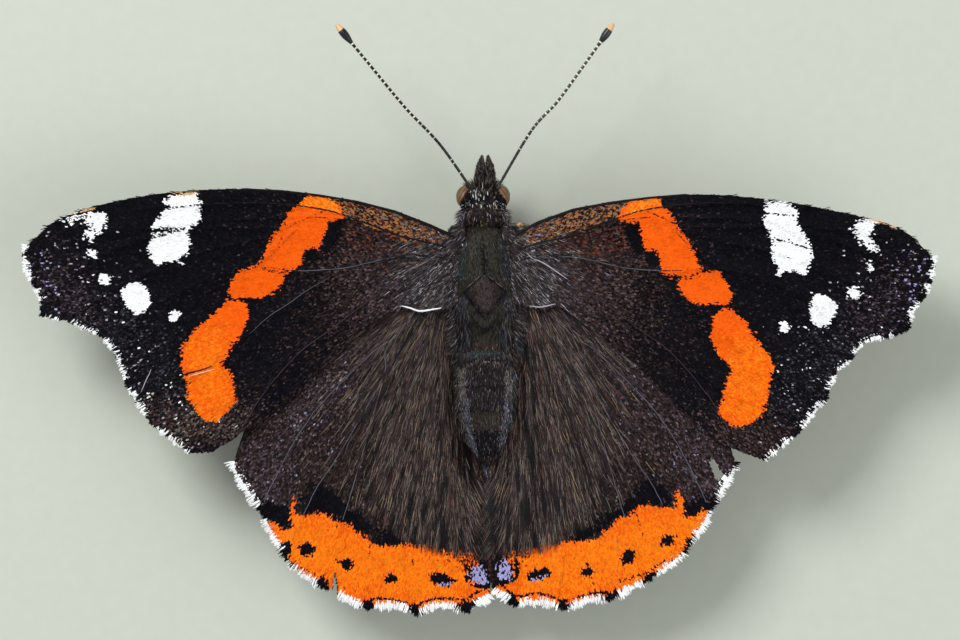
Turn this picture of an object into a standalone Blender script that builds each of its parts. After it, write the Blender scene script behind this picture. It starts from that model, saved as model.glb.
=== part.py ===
"""Red admiral butterfly (Vanessa atalanta), life size, basking with its wings spread flat.

The head points to -Y, the insect's own left is +X and the floor is z = 0. Sizes are in
millimetres up to the point where a mesh is made. Plan positions are (out, back): out is the
distance from the median line towards that side's wing tip, back is the distance behind the
middle of the model's length.
"""

import math
from dataclasses import dataclass

import bmesh
import bpy
from mathutils import Matrix, Vector

MM = 0.001
LEFT = 1
RIGHT = -1

# The median line lies a little to the right, because the left wing reaches further out.
MEDIAN_X = -0.43
BODY_YAW_DEG = 0.86

# Wings
WING_THICKNESS = 0.5
WING_SPAN_STEPS = 15
MARGIN_STEPS_PER_VEIN = 2
PATH_STEPS_PER_SPAN = 24
FOREWING_ROOT_HEIGHT = 7.3
HINDWING_ROOT_HEIGHT = 6.3
WING_TIP_RISE = 1.3
WING_CAMBER = 0.5
WING_REACH = 33.0
HINDWING_REAR_DROOP = 0.5
HINDWING_REAR_START = 6.0
HINDWING_REAR_LENGTH = 15.0

# Trunk: half sizes are (out, along, up)
THORAX_CENTRE = (0.0, -2.4, 5.8)
THORAX_HALF = (2.4, 4.3, 2.5)
THORAX_BLUNTNESS = 2.5
PROTHORAX_CENTRE = (0.0, -7.45, 6.0)
PROTHORAX_HALF = (1.85, 0.42, 1.75)
PROTHORAX_BLUNTNESS = 3.0
HEAD_CENTRE = (0.0, -9.2, 6.2)
HEAD_HALF = (1.35, 0.75, 1.3)
HEAD_BLUNTNESS = 2.3
EYE_CENTRE = (1.36, -8.95, 6.3)
EYE_HALF = (0.66, 0.78, 0.98)
ROUND = 2.0
EYE_SOCKET_GAP = 0.3
POLE_RADIUS = 1e-3
BALL_SEGMENTS = 20
BALL_RINGS = 12

# Abdomen
ABDOMEN_START = 2.2
ABDOMEN_END = 11.8
ABDOMEN_START_HEIGHT = 5.5
ABDOMEN_END_HEIGHT = 4.75
ABDOMEN_WAIST = 2.2
ABDOMEN_GREATEST = 2.45
ABDOMEN_TIP = 0.28
ABDOMEN_FATTEST_SHARE = 0.25
ABDOMEN_DEPTH_SHARE = 0.88
ABDOMEN_SEGMENTS = 8
ABDOMEN_GROOVE = 0.07
ABDOMEN_SIDES = 20

# Mouthparts
PALP_PATH = ((0.5, -9.75, 4.75), (0.55, -10.6, 5.15), (0.5, -11.3, 5.85), (0.38, -11.9, 6.5))
PALP_RADII = (0.3, 0.4, 0.33, 0.18)
TONGUE_CENTRE = (0.0, -9.3, 3.65)
TONGUE_OUTER_RADIUS = 0.85
TONGUE_INNER_RADIUS = 0.22
TONGUE_TURNS = 1.15
TONGUE_RADIUS = 0.25
TONGUE_STEPS = 18
TONGUE_START_DEG = 60.0
TONGUE_TAPER = 0.07

# Antennae
ANTENNA_RADIUS = 0.25
CLUB_RADIUS = 0.33
CLUB_LENGTH_SHARE = 0.16
ANTENNA_TIP_RADIUS = 0.24
ANTENNA_STEPS = 16
LEFT_ANTENNA_PATH = (
    (0.95, -9.45, 7.25),
    (3.2, -12.6, 7.9),
    (5.65, -15.2, 8.2),
    (8.15, -18.2, 8.4),
    (10.5, -21.05, 8.5),
)
RIGHT_ANTENNA_PATH = (
    (0.95, -9.95, 7.25),
    (3.3, -13.6, 7.9),
    (5.1, -15.6, 8.2),
    (6.8, -17.9, 8.4),
    (9.07, -21.1, 8.5),
)

# Legs: coxa, knee, ankle and toe of each
FOOT_AXIS_HEIGHT = 0.15
LEG_CORNER = 0.7
LEG_CORNER_SHARES = (0.0, 0.33, 0.67, 1.0)
THIGH_RADIUS = 0.34
SHIN_RADIUS = 0.28
FOOT_RADIUS = 0.25
FORELEG_JOINTS = ((0.95, -7.3, 3.75), (1.7, -8.2, 3.0), (1.1, -9.7, 2.7), (0.85, -10.5, 3.1))
LEFT_MIDLEG_JOINTS = ((1.2, -4.4, 2.85), (3.6, -5.6, 4.6), (5.7, -6.2, FOOT_AXIS_HEIGHT),
                       (7.9, -7.1, FOOT_AXIS_HEIGHT))
RIGHT_MIDLEG_JOINTS = ((1.25, -4.7, 2.8), (2.3, -6.85, 4.9), (5.1, -6.4, FOOT_AXIS_HEIGHT),
                        (7.4, -7.0, FOOT_AXIS_HEIGHT))
HINDLEG_JOINTS = ((1.2, -0.7, 2.95), (3.5, 1.9, 4.3), (4.7, 6.0, FOOT_AXIS_HEIGHT),
                  (5.4, 9.4, FOOT_AXIS_HEIGHT))

BLACK_BROWN = (0.022, 0.019, 0.021)
WING_BROWN = (0.045, 0.030, 0.024)
OLIVE_GREY = (0.060, 0.058, 0.050)
ABDOMEN_GREY = (0.040, 0.042, 0.048)
EYE_AMBER = (0.160, 0.070, 0.030)
PALP_GREY = (0.050, 0.045, 0.045)
TONGUE_BROWN = (0.090, 0.045, 0.020)
ANTENNA_BLACK = (0.020, 0.020, 0.022)
LEG_TAN = (0.230, 0.130, 0.065)


@dataclass(frozen=True)
class WingPlan:
    """The outline of one wing seen from above, from its root to its vein ends.

    front is the costal edge from root to apex, vein_ends the points where the veins reach the
    outer margin from apex to rear corner, swells how far the margin between two vein ends
    stands out (or in, if negative), and rear the edge from the rear corner back to the root.
    """

    front: tuple
    vein_ends: tuple
    swells: tuple
    rear: tuple
    root_height: float
    rear_droop: float


LEFT_FOREWING = WingPlan(
    front=(
        (2.55, -6.2), (6.05, -7.7), (10.35, -8.75), (16.05, -9.4),
        (21.8, -9.25), (26.8, -8.45), (30.35, -7.3), (32.6, -5.4),
    ),
    vein_ends=(
        (32.6, -5.4), (32.35, -2.7), (31.7, -0.3), (29.65, 0.1),
        (27.4, 1.15), (25.65, 4.6), (23.8, 7.45), (20.95, 9.2),
    ),
    swells=(0.4, -0.2, 0.05, 0.0, -0.35, 0.0, 0.1),
    rear=(
        (20.95, 9.2), (19.2, 9.05), (16.55, 7.25), (13.2, 4.55), (11.05, 2.3),
        (9.05, 0.7), (5.85, -1.1), (4.3, -0.85), (2.6, -1.2),
    ),
    root_height=FOREWING_ROOT_HEIGHT,
    rear_droop=0.0,
)

RIGHT_FOREWING = WingPlan(
    front=(
        (2.5, -6.35), (5.35, -7.7), (9.65, -8.55), (15.35, -9.05),
        (21.1, -8.55), (26.1, -7.6), (29.65, -6.55), (31.85, -4.6),
    ),
    vein_ends=(
        (31.85, -4.6), (31.35, -1.6), (30.3, 0.7), (28.5, 1.3),
        (26.3, 2.6), (24.4, 5.65), (22.5, 8.05), (19.85, 9.7),
    ),
    swells=(0.3, -0.3, 0.1, -0.45, -0.4, -0.15, 0.05),
    rear=(
        (19.85, 9.7), (18.55, 9.3), (16.45, 8.3), (14.65, 6.7), (12.5, 4.75),
        (10.0, 2.25), (7.5, 0.4), (5.05, -1.25), (3.95, -1.05), (2.6, -1.5),
    ),
    root_height=FOREWING_ROOT_HEIGHT,
    rear_droop=0.0,
)

LEFT_HINDWING = WingPlan(
    front=(
        (2.8, -2.0), (6.05, -2.1), (9.65, -0.7), (13.2, 1.9),
        (15.95, 5.25), (17.25, 8.1), (17.9, 10.05),
    ),
    vein_ends=(
        (17.9, 10.05), (16.2, 13.75), (14.4, 17.05), (11.55, 19.25),
        (8.5, 20.8), (5.0, 21.2), (1.15, 21.05), (-0.3, 19.55),
    ),
    swells=(0.25, 0.1, 0.25, 0.0, -0.4, -0.5, 0.05),
    rear=(
        (-0.3, 19.55), (-0.15, 17.0), (0.05, 14.2), (0.4, 12.0), (1.1, 9.9),
        (2.15, 7.4), (2.6, 4.9), (2.65, 2.75), (2.65, 0.9),
    ),
    root_height=HINDWING_ROOT_HEIGHT,
    rear_droop=HINDWING_REAR_DROOP,
)

RIGHT_HINDWING = WingPlan(
    front=(
        (2.8, -2.0), (6.05, -1.8), (9.65, -0.25), (12.85, 2.2),
        (15.7, 5.6), (17.35, 8.45), (17.8, 10.05),
    ),
    vein_ends=(
        (17.8, 10.05), (16.5, 13.3), (14.7, 16.3), (11.95, 18.55),
        (9.05, 20.1), (5.65, 20.95), (2.05, 20.7), (0.7, 19.15),
    ),
    swells=(0.15, 0.1, 0.2, 0.0, -0.3, -0.5, 0.05),
    rear=(
        (0.7, 19.15), (0.6, 17.0), (0.5, 14.2), (0.5, 12.15), (1.3, 9.9),
        (2.2, 7.4), (2.6, 4.9), (2.65, 2.75), (2.65, 0.9),
    ),
    root_height=HINDWING_ROOT_HEIGHT,
    rear_droop=HINDWING_REAR_DROOP,
)

# Tears in the two hindwings: the inner end, and the two corners where each opens on the margin
LEFT_TEAR = ((10.75, 17.6), (10.35, 20.6), (10.85, 20.6))
RIGHT_TEAR = ((15.6, 9.05), (17.9, 11.6), (16.2, 12.0))
TEAR_LOW = 3.0
TEAR_HIGH = 10.0
TEAR_OVERSHOOT = 1.6


def clear_scene():
    """Remove every object that the startup scene holds."""
    for obj in list(bpy.data.objects):
        bpy.data.objects.remove(obj, do_unlink=True)


def make_collection(name, hidden=False):
    """Make a collection in the scene; a hidden one holds cutters."""
    collection = bpy.data.collections.new(name)
    collection.hide_render = hidden
    bpy.context.scene.collection.children.link(collection)
    return collection


def make_material(name, colour, roughness):
    """Make a plain Principled material."""
    material = bpy.data.materials.new(name)
    material.use_nodes = True
    shader = material.node_tree.nodes["Principled BSDF"]
    shader.inputs["Base Color"].default_value = (*colour, 1.0)
    shader.inputs["Roughness"].default_value = roughness
    material.diffuse_color = (*colour, 1.0)
    return material


def add_object(collection, name, mesh, material=None, smooth=True):
    """Link a mesh as a named object with its own material."""
    mesh.name = name
    obj = bpy.data.objects.new(name, mesh)
    collection.objects.link(obj)
    if material:
        mesh.materials.append(material)
    for polygon in mesh.polygons:
        polygon.use_smooth = smooth
    return obj


def world(side, point):
    """Turn (out, back, height) in millimetres into a position in metres on one side."""
    return Vector((MEDIAN_X + side * point[0], point[1], point[2])) * MM


def body_axis():
    """The slight turn of the trunk about its own middle."""
    pivot = Matrix.Translation(Vector((MEDIAN_X, 0.0, 0.0)) * MM)
    return pivot @ Matrix.Rotation(math.radians(BODY_YAW_DEG), 4, "Z") @ pivot.inverted()


def smooth_path(points, steps):
    """Sample a Catmull-Rom curve through the points at equal lengths along it."""
    fine = []
    ends = [2 * points[0] - points[1], *points, 2 * points[-1] - points[-2]]
    for a, b, c, d in zip(ends, ends[1:], ends[2:], ends[3:]):
        for k in range(PATH_STEPS_PER_SPAN):
            t = k / PATH_STEPS_PER_SPAN
            fine.append(
                0.5 * (2 * b + (c - a) * t + (2 * a - 5 * b + 4 * c - d) * t**2
                       + (3 * b - a - 3 * c + d) * t**3)
            )
    fine.append(points[-1])
    lengths = [0.0]
    for a, b in zip(fine, fine[1:]):
        lengths.append(lengths[-1] + (b - a).length)
    found = []
    at = 0
    for k in range(steps + 1):
        wanted = lengths[-1] * k / steps
        while at < len(fine) - 2 and lengths[at + 1] < wanted:
            at += 1
        share = (wanted - lengths[at]) / max(lengths[at + 1] - lengths[at], 1e-9)
        found.append(fine[at].lerp(fine[at + 1], min(max(share, 0.0), 1.0)))
    return found


def outer_margin(plan):
    """The margin from apex to rear corner, with each stretch between vein ends swollen."""
    ends = [Vector(p) for p in plan.vein_ends]
    points = []
    for a, b, swell in zip(ends, ends[1:], plan.swells):
        across = Vector((b.y - a.y, a.x - b.x)).normalized()
        for k in range(MARGIN_STEPS_PER_VEIN):
            t = k / MARGIN_STEPS_PER_VEIN
            points.append(a.lerp(b, t) + across * swell * math.sin(math.pi * t))
    points.append(ends[-1])
    return points


def wing_height(plan, out, back):
    """Height of the wing's middle surface: a low dihedral with a little camber."""
    share = max(0.0, min(1.0, out / WING_REACH))
    rise = WING_TIP_RISE * share**1.3 + WING_CAMBER * math.sin(math.pi * share)
    behind = max(0.0, (back - HINDWING_REAR_START) / HINDWING_REAR_LENGTH)
    return plan.root_height + rise - plan.rear_droop * behind**2


def wing_surface(plan, side):
    """Lay a grid between the four edges of the wing and lift it to its height."""
    margin = outer_margin(plan)
    chord_steps = len(margin) - 1
    front = smooth_path([Vector(p) for p in plan.front], WING_SPAN_STEPS)
    rear = smooth_path([Vector(p) for p in plan.rear], WING_SPAN_STEPS)[::-1]
    root = [front[0].lerp(rear[0], k / chord_steps) for k in range(chord_steps + 1)]
    bm = bmesh.new()
    bmesh.ops.create_grid(bm, x_segments=WING_SPAN_STEPS, y_segments=chord_steps, size=0.5)
    for vert in bm.verts:
        u = vert.co.x + 0.5
        v = vert.co.y + 0.5
        i = round(u * WING_SPAN_STEPS)
        j = round(v * chord_steps)
        corners = (
            (1 - u) * (1 - v) * front[0] + u * (1 - v) * front[-1]
            + (1 - u) * v * rear[0] + u * v * rear[-1]
        )
        place = (1 - v) * front[i] + v * rear[i] + (1 - u) * root[j] + u * margin[j] - corners
        vert.co = world(side, (place.x, place.y, wing_height(plan, place.x, place.y)))
    bmesh.ops.recalc_face_normals(bm, faces=bm.faces)
    mesh = bpy.data.meshes.new("wing")
    bm.to_mesh(mesh)
    bm.free()
    return mesh


def make_tear(cutters, name, side, corners):
    """A thin upright wedge that cuts a tear into a wing."""
    inner = Vector(corners[0])
    bm = bmesh.new()
    ring = []
    for corner in corners:
        beyond = inner + (Vector(corner) - inner) * TEAR_OVERSHOOT
        ring.append(beyond if Vector(corner) != inner else inner)
    floor = [bm.verts.new(world(side, (p.x, p.y, TEAR_LOW))) for p in ring]
    face = bm.faces.new(floor)
    made = bmesh.ops.extrude_face_region(bm, geom=[face])
    for item in made["geom"]:
        if isinstance(item, bmesh.types.BMVert):
            item.co.z = TEAR_HIGH * MM
    bmesh.ops.recalc_face_normals(bm, faces=bm.faces)
    mesh = bpy.data.meshes.new(name)
    bm.to_mesh(mesh)
    bm.free()
    cutter = add_object(cutters, name, mesh)
    cutter.display_type = "WIRE"
    return cutter


def make_wing(parts, cutters, name, plan, side, colour, tear=None):
    """One wing as a thickened sheet, with its tear if it has one."""
    wing = add_object(parts, name, wing_surface(plan, side), make_material(name, colour, 0.7))
    thicken = wing.modifiers.new("thickness", "SOLIDIFY")
    thicken.thickness = WING_THICKNESS * MM
    thicken.offset = 0.0
    if tear:
        cut = wing.modifiers.new("tear", "BOOLEAN")
        cut.solver = "EXACT"
        cut.operation = "DIFFERENCE"
        cut.object = make_tear(cutters, name + "_tear", side, tear)
    return wing


def ball_mesh(half, bluntness):
    """A ball with the given half sizes in millimetres, its poles front and rear.

    A bluntness of 2 leaves it round; more makes its ends fuller, like a barrel's.
    """
    bm = bmesh.new()
    bmesh.ops.create_uvsphere(bm, u_segments=BALL_SEGMENTS, v_segments=BALL_RINGS, radius=1.0)
    bmesh.ops.rotate(bm, verts=bm.verts, matrix=Matrix.Rotation(math.pi / 2, 3, "X"))
    for vert in bm.verts:
        along = min(abs(vert.co.y), 1.0)
        round_radius = math.sqrt(max(1.0 - along**2, 0.0))
        if round_radius > POLE_RADIUS:
            fuller = (1.0 - along**bluntness) ** (1.0 / bluntness) / round_radius
            vert.co.x *= fuller
            vert.co.z *= fuller
    bmesh.ops.scale(bm, verts=bm.verts, vec=Vector(half) * MM)
    mesh = bpy.data.meshes.new("ball")
    bm.to_mesh(mesh)
    bm.free()
    return mesh


def make_ball(collection, name, side, centre, half, material=None, bluntness=ROUND):
    """A trunk piece made as a ball and turned with the body."""
    obj = add_object(collection, name, ball_mesh(half, bluntness), material)
    obj.matrix_world = body_axis() @ Matrix.Translation(world(side, centre))
    return obj


def abdomen_radius(share):
    """Half width along the abdomen, from waist to tip, with a groove between segments."""
    if share < ABDOMEN_FATTEST_SHARE:
        grown = math.sin(share / ABDOMEN_FATTEST_SHARE * math.pi / 2)
        radius = ABDOMEN_WAIST + (ABDOMEN_GREATEST - ABDOMEN_WAIST) * grown
    else:
        tail = (share - ABDOMEN_FATTEST_SHARE) / (1 - ABDOMEN_FATTEST_SHARE)
        radius = ABDOMEN_TIP + (ABDOMEN_GREATEST - ABDOMEN_TIP) * math.cos(tail * math.pi / 2) ** 0.9
    return radius


def make_abdomen(parts):
    """The abdomen as a turned body, flattened, drooping and ringed by its segments."""
    profile = []
    for k in range(2 * ABDOMEN_SEGMENTS + 1):
        share = k / (2 * ABDOMEN_SEGMENTS)
        groove = ABDOMEN_GROOVE if k % 2 == 0 else 0.0
        profile.append((abdomen_radius(share) - groove, share))
    length = ABDOMEN_END - ABDOMEN_START
    bm = bmesh.new()
    start = bm.verts.new((0.0, 0.0, 0.0))
    previous = start
    for radius, share in profile:
        vert = bm.verts.new((radius * MM, share * length * MM, 0.0))
        bm.edges.new((previous, vert))
        previous = vert
    tip = bm.verts.new((0.0, length * MM, 0.0))
    bm.edges.new((previous, tip))
    bmesh.ops.spin(
        bm, geom=bm.verts[:] + bm.edges[:], axis=(0.0, 1.0, 0.0), cent=(0.0, 0.0, 0.0),
        steps=ABDOMEN_SIDES, angle=2 * math.pi, use_merge=True,
    )
    bmesh.ops.remove_doubles(bm, verts=bm.verts, dist=0.001 * MM)
    for vert in bm.verts:
        share = vert.co.y / (length * MM)
        drop = (ABDOMEN_END_HEIGHT - ABDOMEN_START_HEIGHT) * share
        vert.co.z = vert.co.z * ABDOMEN_DEPTH_SHARE + drop * MM
    bmesh.ops.recalc_face_normals(bm, faces=bm.faces)
    mesh = bpy.data.meshes.new("abdomen")
    bm.to_mesh(mesh)
    bm.free()
    obj = add_object(parts, "abdomen", mesh, make_material("abdomen", ABDOMEN_GREY, 0.8))
    place = world(LEFT, (0.0, ABDOMEN_START, ABDOMEN_START_HEIGHT))
    obj.matrix_world = body_axis() @ Matrix.Translation(place)
    return obj


def tube_mesh(points, radii, sides=4):
    """A closed tube through the points, from a curve with a round bevel and filled caps."""
    curve = bpy.data.curves.new("tube", "CURVE")
    curve.dimensions = "3D"
    curve.bevel_depth = 1.0
    curve.bevel_resolution = sides - 2
    curve.use_fill_caps = True
    curve.twist_mode = "Z_UP"
    spline = curve.splines.new("POLY")
    spline.points.add(len(points) - 1)
    for slot, place, radius in zip(spline.points, points, radii):
        slot.co = (*place, 1.0)
        slot.radius = radius * MM
    holder = bpy.data.objects.new("tube", curve)
    mesh = bpy.data.meshes.new_from_object(holder)
    bpy.data.objects.remove(holder, do_unlink=True)
    bpy.data.curves.remove(curve)
    bm = bmesh.new()
    bm.from_mesh(mesh)
    bmesh.ops.remove_doubles(bm, verts=bm.verts, dist=0.001 * MM)
    bmesh.ops.recalc_face_normals(bm, faces=bm.faces)
    bm.to_mesh(mesh)
    bm.free()
    return mesh


def taper(values, share):
    """Read a list of radii at a share of the way along it."""
    place = share * (len(values) - 1)
    at = min(int(place), len(values) - 2)
    return values[at] + (values[at + 1] - values[at]) * (place - at)


def make_head(parts, cutters):
    """The head, hollowed on each side where an eye sits."""
    material = make_material("head", BLACK_BROWN, 0.8)
    head = make_ball(parts, "head", LEFT, HEAD_CENTRE, HEAD_HALF, material, HEAD_BLUNTNESS)
    socket = tuple(half + EYE_SOCKET_GAP for half in EYE_HALF)
    for side, word in ((LEFT, "left"), (RIGHT, "right")):
        cutter = make_ball(cutters, "socket_" + word, side, EYE_CENTRE, socket)
        cutter.display_type = "WIRE"
        cut = head.modifiers.new("socket_" + word, "BOOLEAN")
        cut.solver = "EXACT"
        cut.operation = "DIFFERENCE"
        cut.object = cutter
        eye_material = make_material("eye_" + word, EYE_AMBER, 0.25)
        make_ball(parts, "eye_" + word, side, EYE_CENTRE, EYE_HALF, eye_material)


def make_palps(parts):
    """The two hairy palps that reach forward beside the tongue."""
    steps = 7
    for side, word in ((LEFT, "left"), (RIGHT, "right")):
        path = smooth_path([world(side, p) for p in PALP_PATH], steps)
        radii = [taper(PALP_RADII, k / steps) for k in range(steps + 1)]
        mesh = tube_mesh(path, radii)
        obj = add_object(parts, "palp_" + word, mesh, make_material("palp_" + word, PALP_GREY, 0.8))
        obj.matrix_world = body_axis()


def make_tongue(parts):
    """The proboscis, coiled up under the head."""
    path = []
    for k in range(TONGUE_STEPS + 1):
        share = k / TONGUE_STEPS
        radius = TONGUE_OUTER_RADIUS + (TONGUE_INNER_RADIUS - TONGUE_OUTER_RADIUS) * share
        angle = math.radians(TONGUE_START_DEG) + 2 * math.pi * TONGUE_TURNS * share
        centre = TONGUE_CENTRE
        path.append(world(LEFT, (
            centre[0],
            centre[1] - radius * math.cos(angle),
            centre[2] + radius * math.sin(angle),
        )))
    radii = [TONGUE_RADIUS - TONGUE_TAPER * k / TONGUE_STEPS for k in range(TONGUE_STEPS + 1)]
    mesh = tube_mesh(path, radii, sides=3)
    obj = add_object(parts, "proboscis", mesh, make_material("proboscis", TONGUE_BROWN, 0.5))
    obj.matrix_world = body_axis()


def antenna_radius(share):
    """Slender shaft that widens into the club and rounds off at its tip."""
    club = (share - (1 - CLUB_LENGTH_SHARE)) / CLUB_LENGTH_SHARE
    if club <= 0:
        return ANTENNA_RADIUS
    if club < 0.5:
        return ANTENNA_RADIUS + (CLUB_RADIUS - ANTENNA_RADIUS) * club * 2
    return CLUB_RADIUS + (ANTENNA_TIP_RADIUS - CLUB_RADIUS) * (club - 0.5) * 2


def make_antennae(parts):
    """Both antennae, each reaching forward and outward to its club."""
    for side, word, path in (
        (LEFT, "left", LEFT_ANTENNA_PATH),
        (RIGHT, "right", RIGHT_ANTENNA_PATH),
    ):
        points = smooth_path([world(side, p) for p in path], ANTENNA_STEPS)
        radii = [antenna_radius(k / ANTENNA_STEPS) for k in range(ANTENNA_STEPS + 1)]
        name = "antenna_" + word
        mesh = tube_mesh(points, radii, sides=3)
        add_object(parts, name, mesh, make_material(name, ANTENNA_BLACK, 0.45))


def leg_path(side, joints):
    """The leg's centre line with its knee and ankle rounded, and the radius along it."""
    knots = [world(side, p) for p in joints]
    path = [knots[0]]
    radii = [THIGH_RADIUS]
    for at, radius in ((1, SHIN_RADIUS), (2, FOOT_RADIUS)):
        corner = knots[at]
        before = corner + (knots[at - 1] - corner).normalized() * LEG_CORNER * MM
        after = corner + (knots[at + 1] - corner).normalized() * LEG_CORNER * MM
        for t in LEG_CORNER_SHARES:
            path.append(before.lerp(corner, t).lerp(corner.lerp(after, t), t))
            radii.append(radius)
    path.append(knots[3])
    radii.append(FOOT_RADIUS)
    return path, radii


def make_leg(parts, name, side, joints, stands):
    """One leg; a leg that stands has the underside of its foot flattened on the floor."""
    path, radii = leg_path(side, joints)
    mesh = tube_mesh(path, radii)
    if stands:
        for vert in mesh.vertices:
            vert.co.z = max(vert.co.z, 0.0)
    return add_object(parts, name, mesh, make_material(name, LEG_TAN, 0.55))


def make_legs(parts):
    """Folded forelegs, and the four legs that the butterfly stands on."""
    for side, word, mid in (
        (LEFT, "left", LEFT_MIDLEG_JOINTS),
        (RIGHT, "right", RIGHT_MIDLEG_JOINTS),
    ):
        make_leg(parts, "foreleg_" + word, side, FORELEG_JOINTS, stands=False)
        make_leg(parts, "midleg_" + word, side, mid, stands=True)
        make_leg(parts, "hindleg_" + word, side, HINDLEG_JOINTS, stands=True)


def make_wings(parts, cutters):
    """Forewings above, hindwings below."""
    make_wing(parts, cutters, "forewing_left", LEFT_FOREWING, LEFT, BLACK_BROWN)
    make_wing(parts, cutters, "forewing_right", RIGHT_FOREWING, RIGHT, BLACK_BROWN)
    make_wing(parts, cutters, "hindwing_left", LEFT_HINDWING, LEFT, WING_BROWN, LEFT_TEAR)
    make_wing(parts, cutters, "hindwing_right", RIGHT_HINDWING, RIGHT, WING_BROWN, RIGHT_TEAR)


def make_trunk(parts):
    """Thorax with its collar in front and the abdomen behind."""
    thorax = make_material("thorax", OLIVE_GREY, 0.9)
    make_ball(parts, "thorax", LEFT, THORAX_CENTRE, THORAX_HALF, thorax, THORAX_BLUNTNESS)
    collar = make_material("prothorax", BLACK_BROWN, 0.9)
    make_ball(
        parts, "prothorax", LEFT, PROTHORAX_CENTRE, PROTHORAX_HALF, collar, PROTHORAX_BLUNTNESS
    )
    make_abdomen(parts)


def main():
    """Build the butterfly."""
    clear_scene()
    parts = make_collection("red_admiral")
    cutters = make_collection("cutters", hidden=True)
    make_trunk(parts)
    make_head(parts, cutters)
    make_palps(parts)
    make_tongue(parts)
    make_antennae(parts)
    make_wings(parts, cutters)
    make_legs(parts)


main()
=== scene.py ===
"""The looks of a life-size red admiral that basks with its wings spread flat.

Lengths are in millimetres until a mesh is made. A place in plan is (out, back): out is the
distance from the median line towards that side's wing tip, back the distance behind the middle
of the model's length. The head points to -Y, the insect's own left is +X, the floor is z = 0.
"""

import logging
import math
from dataclasses import dataclass
from enum import Enum
from typing import Any, Sequence

import bpy
import numpy as np
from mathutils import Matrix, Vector


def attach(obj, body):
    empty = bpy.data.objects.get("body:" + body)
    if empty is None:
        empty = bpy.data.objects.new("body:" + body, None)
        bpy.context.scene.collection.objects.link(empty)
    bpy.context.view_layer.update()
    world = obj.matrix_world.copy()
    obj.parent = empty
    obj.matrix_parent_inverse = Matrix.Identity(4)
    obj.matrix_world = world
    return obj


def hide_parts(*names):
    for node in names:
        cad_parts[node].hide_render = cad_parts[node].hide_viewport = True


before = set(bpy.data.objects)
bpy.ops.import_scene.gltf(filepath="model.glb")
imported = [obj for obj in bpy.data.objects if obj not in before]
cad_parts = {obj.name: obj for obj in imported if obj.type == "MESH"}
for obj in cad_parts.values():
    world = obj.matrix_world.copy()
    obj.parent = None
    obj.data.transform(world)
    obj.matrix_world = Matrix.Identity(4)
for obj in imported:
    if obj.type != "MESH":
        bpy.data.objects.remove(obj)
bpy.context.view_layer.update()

LOG = logging.getLogger("red_admiral")
BODY = "root"
MM = 0.001
SEED = 1758

# The photograph in pixels: how many make a millimetre, the column of the median line, the row
# of the middle of the model's length, and its width
PHOTO_SCALE = 14.0
PHOTO_MEDIAN = 485.0
PHOTO_MIDDLE = 321.5
PHOTO_WIDTH = 960.0

# Where the median line lies on the model, and how far the trunk is turned on it
MEDIAN_X = -0.43
BODY_YAW_DEG = 0.86
UP = (0.0, 0.0, 1.0)

# The map that coats are baked with: a blade's patch and the empty border, as shares of its side
BAKE_MAP = "OFBake"
BAKE_PATCH = 0.003
BAKE_MARGIN = 0.01

# The order of a face's corners that turns its outer side round
FLIPPED = [0, 3, 2, 1]

Pixels = tuple[tuple[float, float], ...]
Triples = tuple[tuple[float, float, float], ...]
Array = np.ndarray
Random = np.random.Generator
Mesh = bpy.types.Mesh
Tree = bpy.types.NodeTree
Socket = bpy.types.NodeSocket


class Side(Enum):
    """Which side of the median line a piece is on; the value is the sign of its X."""

    LEFT = 1
    RIGHT = -1

    @property
    def word(self) -> str:
        """The side's name as the nodes spell it."""
        return self.name.lower()


class Pigment(Enum):
    """Every colour that a scale, hair or patch of cuticle can have, as sRGB hex."""

    BLACK = "#05050C"
    SOOT = "#130E12"
    UMBER = "#241A19"
    BROWN = "#3A2C2A"
    RUSSET = "#4F2417"
    PLUM = "#3B3036"
    COPPER = "#A0693A"
    AMBER = "#F98A1C"
    ORANGE = "#F76008"
    TANGERINE = "#FD7F0E"
    WHITE = "#FBFDFD"
    SILVER = "#A9A4AE"
    LILAC = "#A5A0D2"
    BLUE = "#566C8C"
    SLATE = "#303238"
    OLIVE = "#2D2A20"
    TEAL = "#252F2F"
    FAWN = "#8A7458"
    BUFF = "#E2B480"
    ROSE = "#D4533F"
    STONE = "#6E665C"
    STEEL = "#5C5C68"
    IVORY = "#E9E2CC"
    LEG = "#A8693A"
    TONGUE = "#6A4020"

    @property
    def mark(self) -> float:
        """Where the colour lies along the ramp that every finish reads."""
        return (list(Pigment).index(self) + 0.5) / len(Pigment)


def linear(code: str) -> tuple[float, float, float, float]:
    """Turn an sRGB hex colour into the linear colour that a shader takes.

    Args:
        code: The colour as "#RRGGBB".

    Returns:
        Linear red, green, blue and an alpha of one.
    """
    parts = [int(code[at:at + 2], 16) / 255 for at in (1, 3, 5)]
    red, green, blue = (c / 12.92 if c <= 0.04045 else ((c + 0.055) / 1.055) ** 2.4 for c in parts)
    return red, green, blue, 1.0


def picked(side: Side, pixels: Sequence[tuple[float, float]]) -> Array:
    """Turn points traced in the photograph into plan millimetres.

    Args:
        side: The side of the insect they lie on.
        pixels: Their columns and rows.

    Returns:
        An array of (out, back).
    """
    places = np.array(pixels, float)
    out = side.value * (PHOTO_MEDIAN - places[:, 0]) / PHOTO_SCALE
    return np.stack((out, (places[:, 1] - PHOTO_MIDDLE) / PHOTO_SCALE), axis=1)


def to_world(side: Side, places: Array) -> Array:
    """Turn (out, back, height) millimetres on one side into positions in metres."""
    return np.stack((MEDIAN_X + side.value * places[..., 0], places[..., 1], places[..., 2]), -1) * MM


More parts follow.
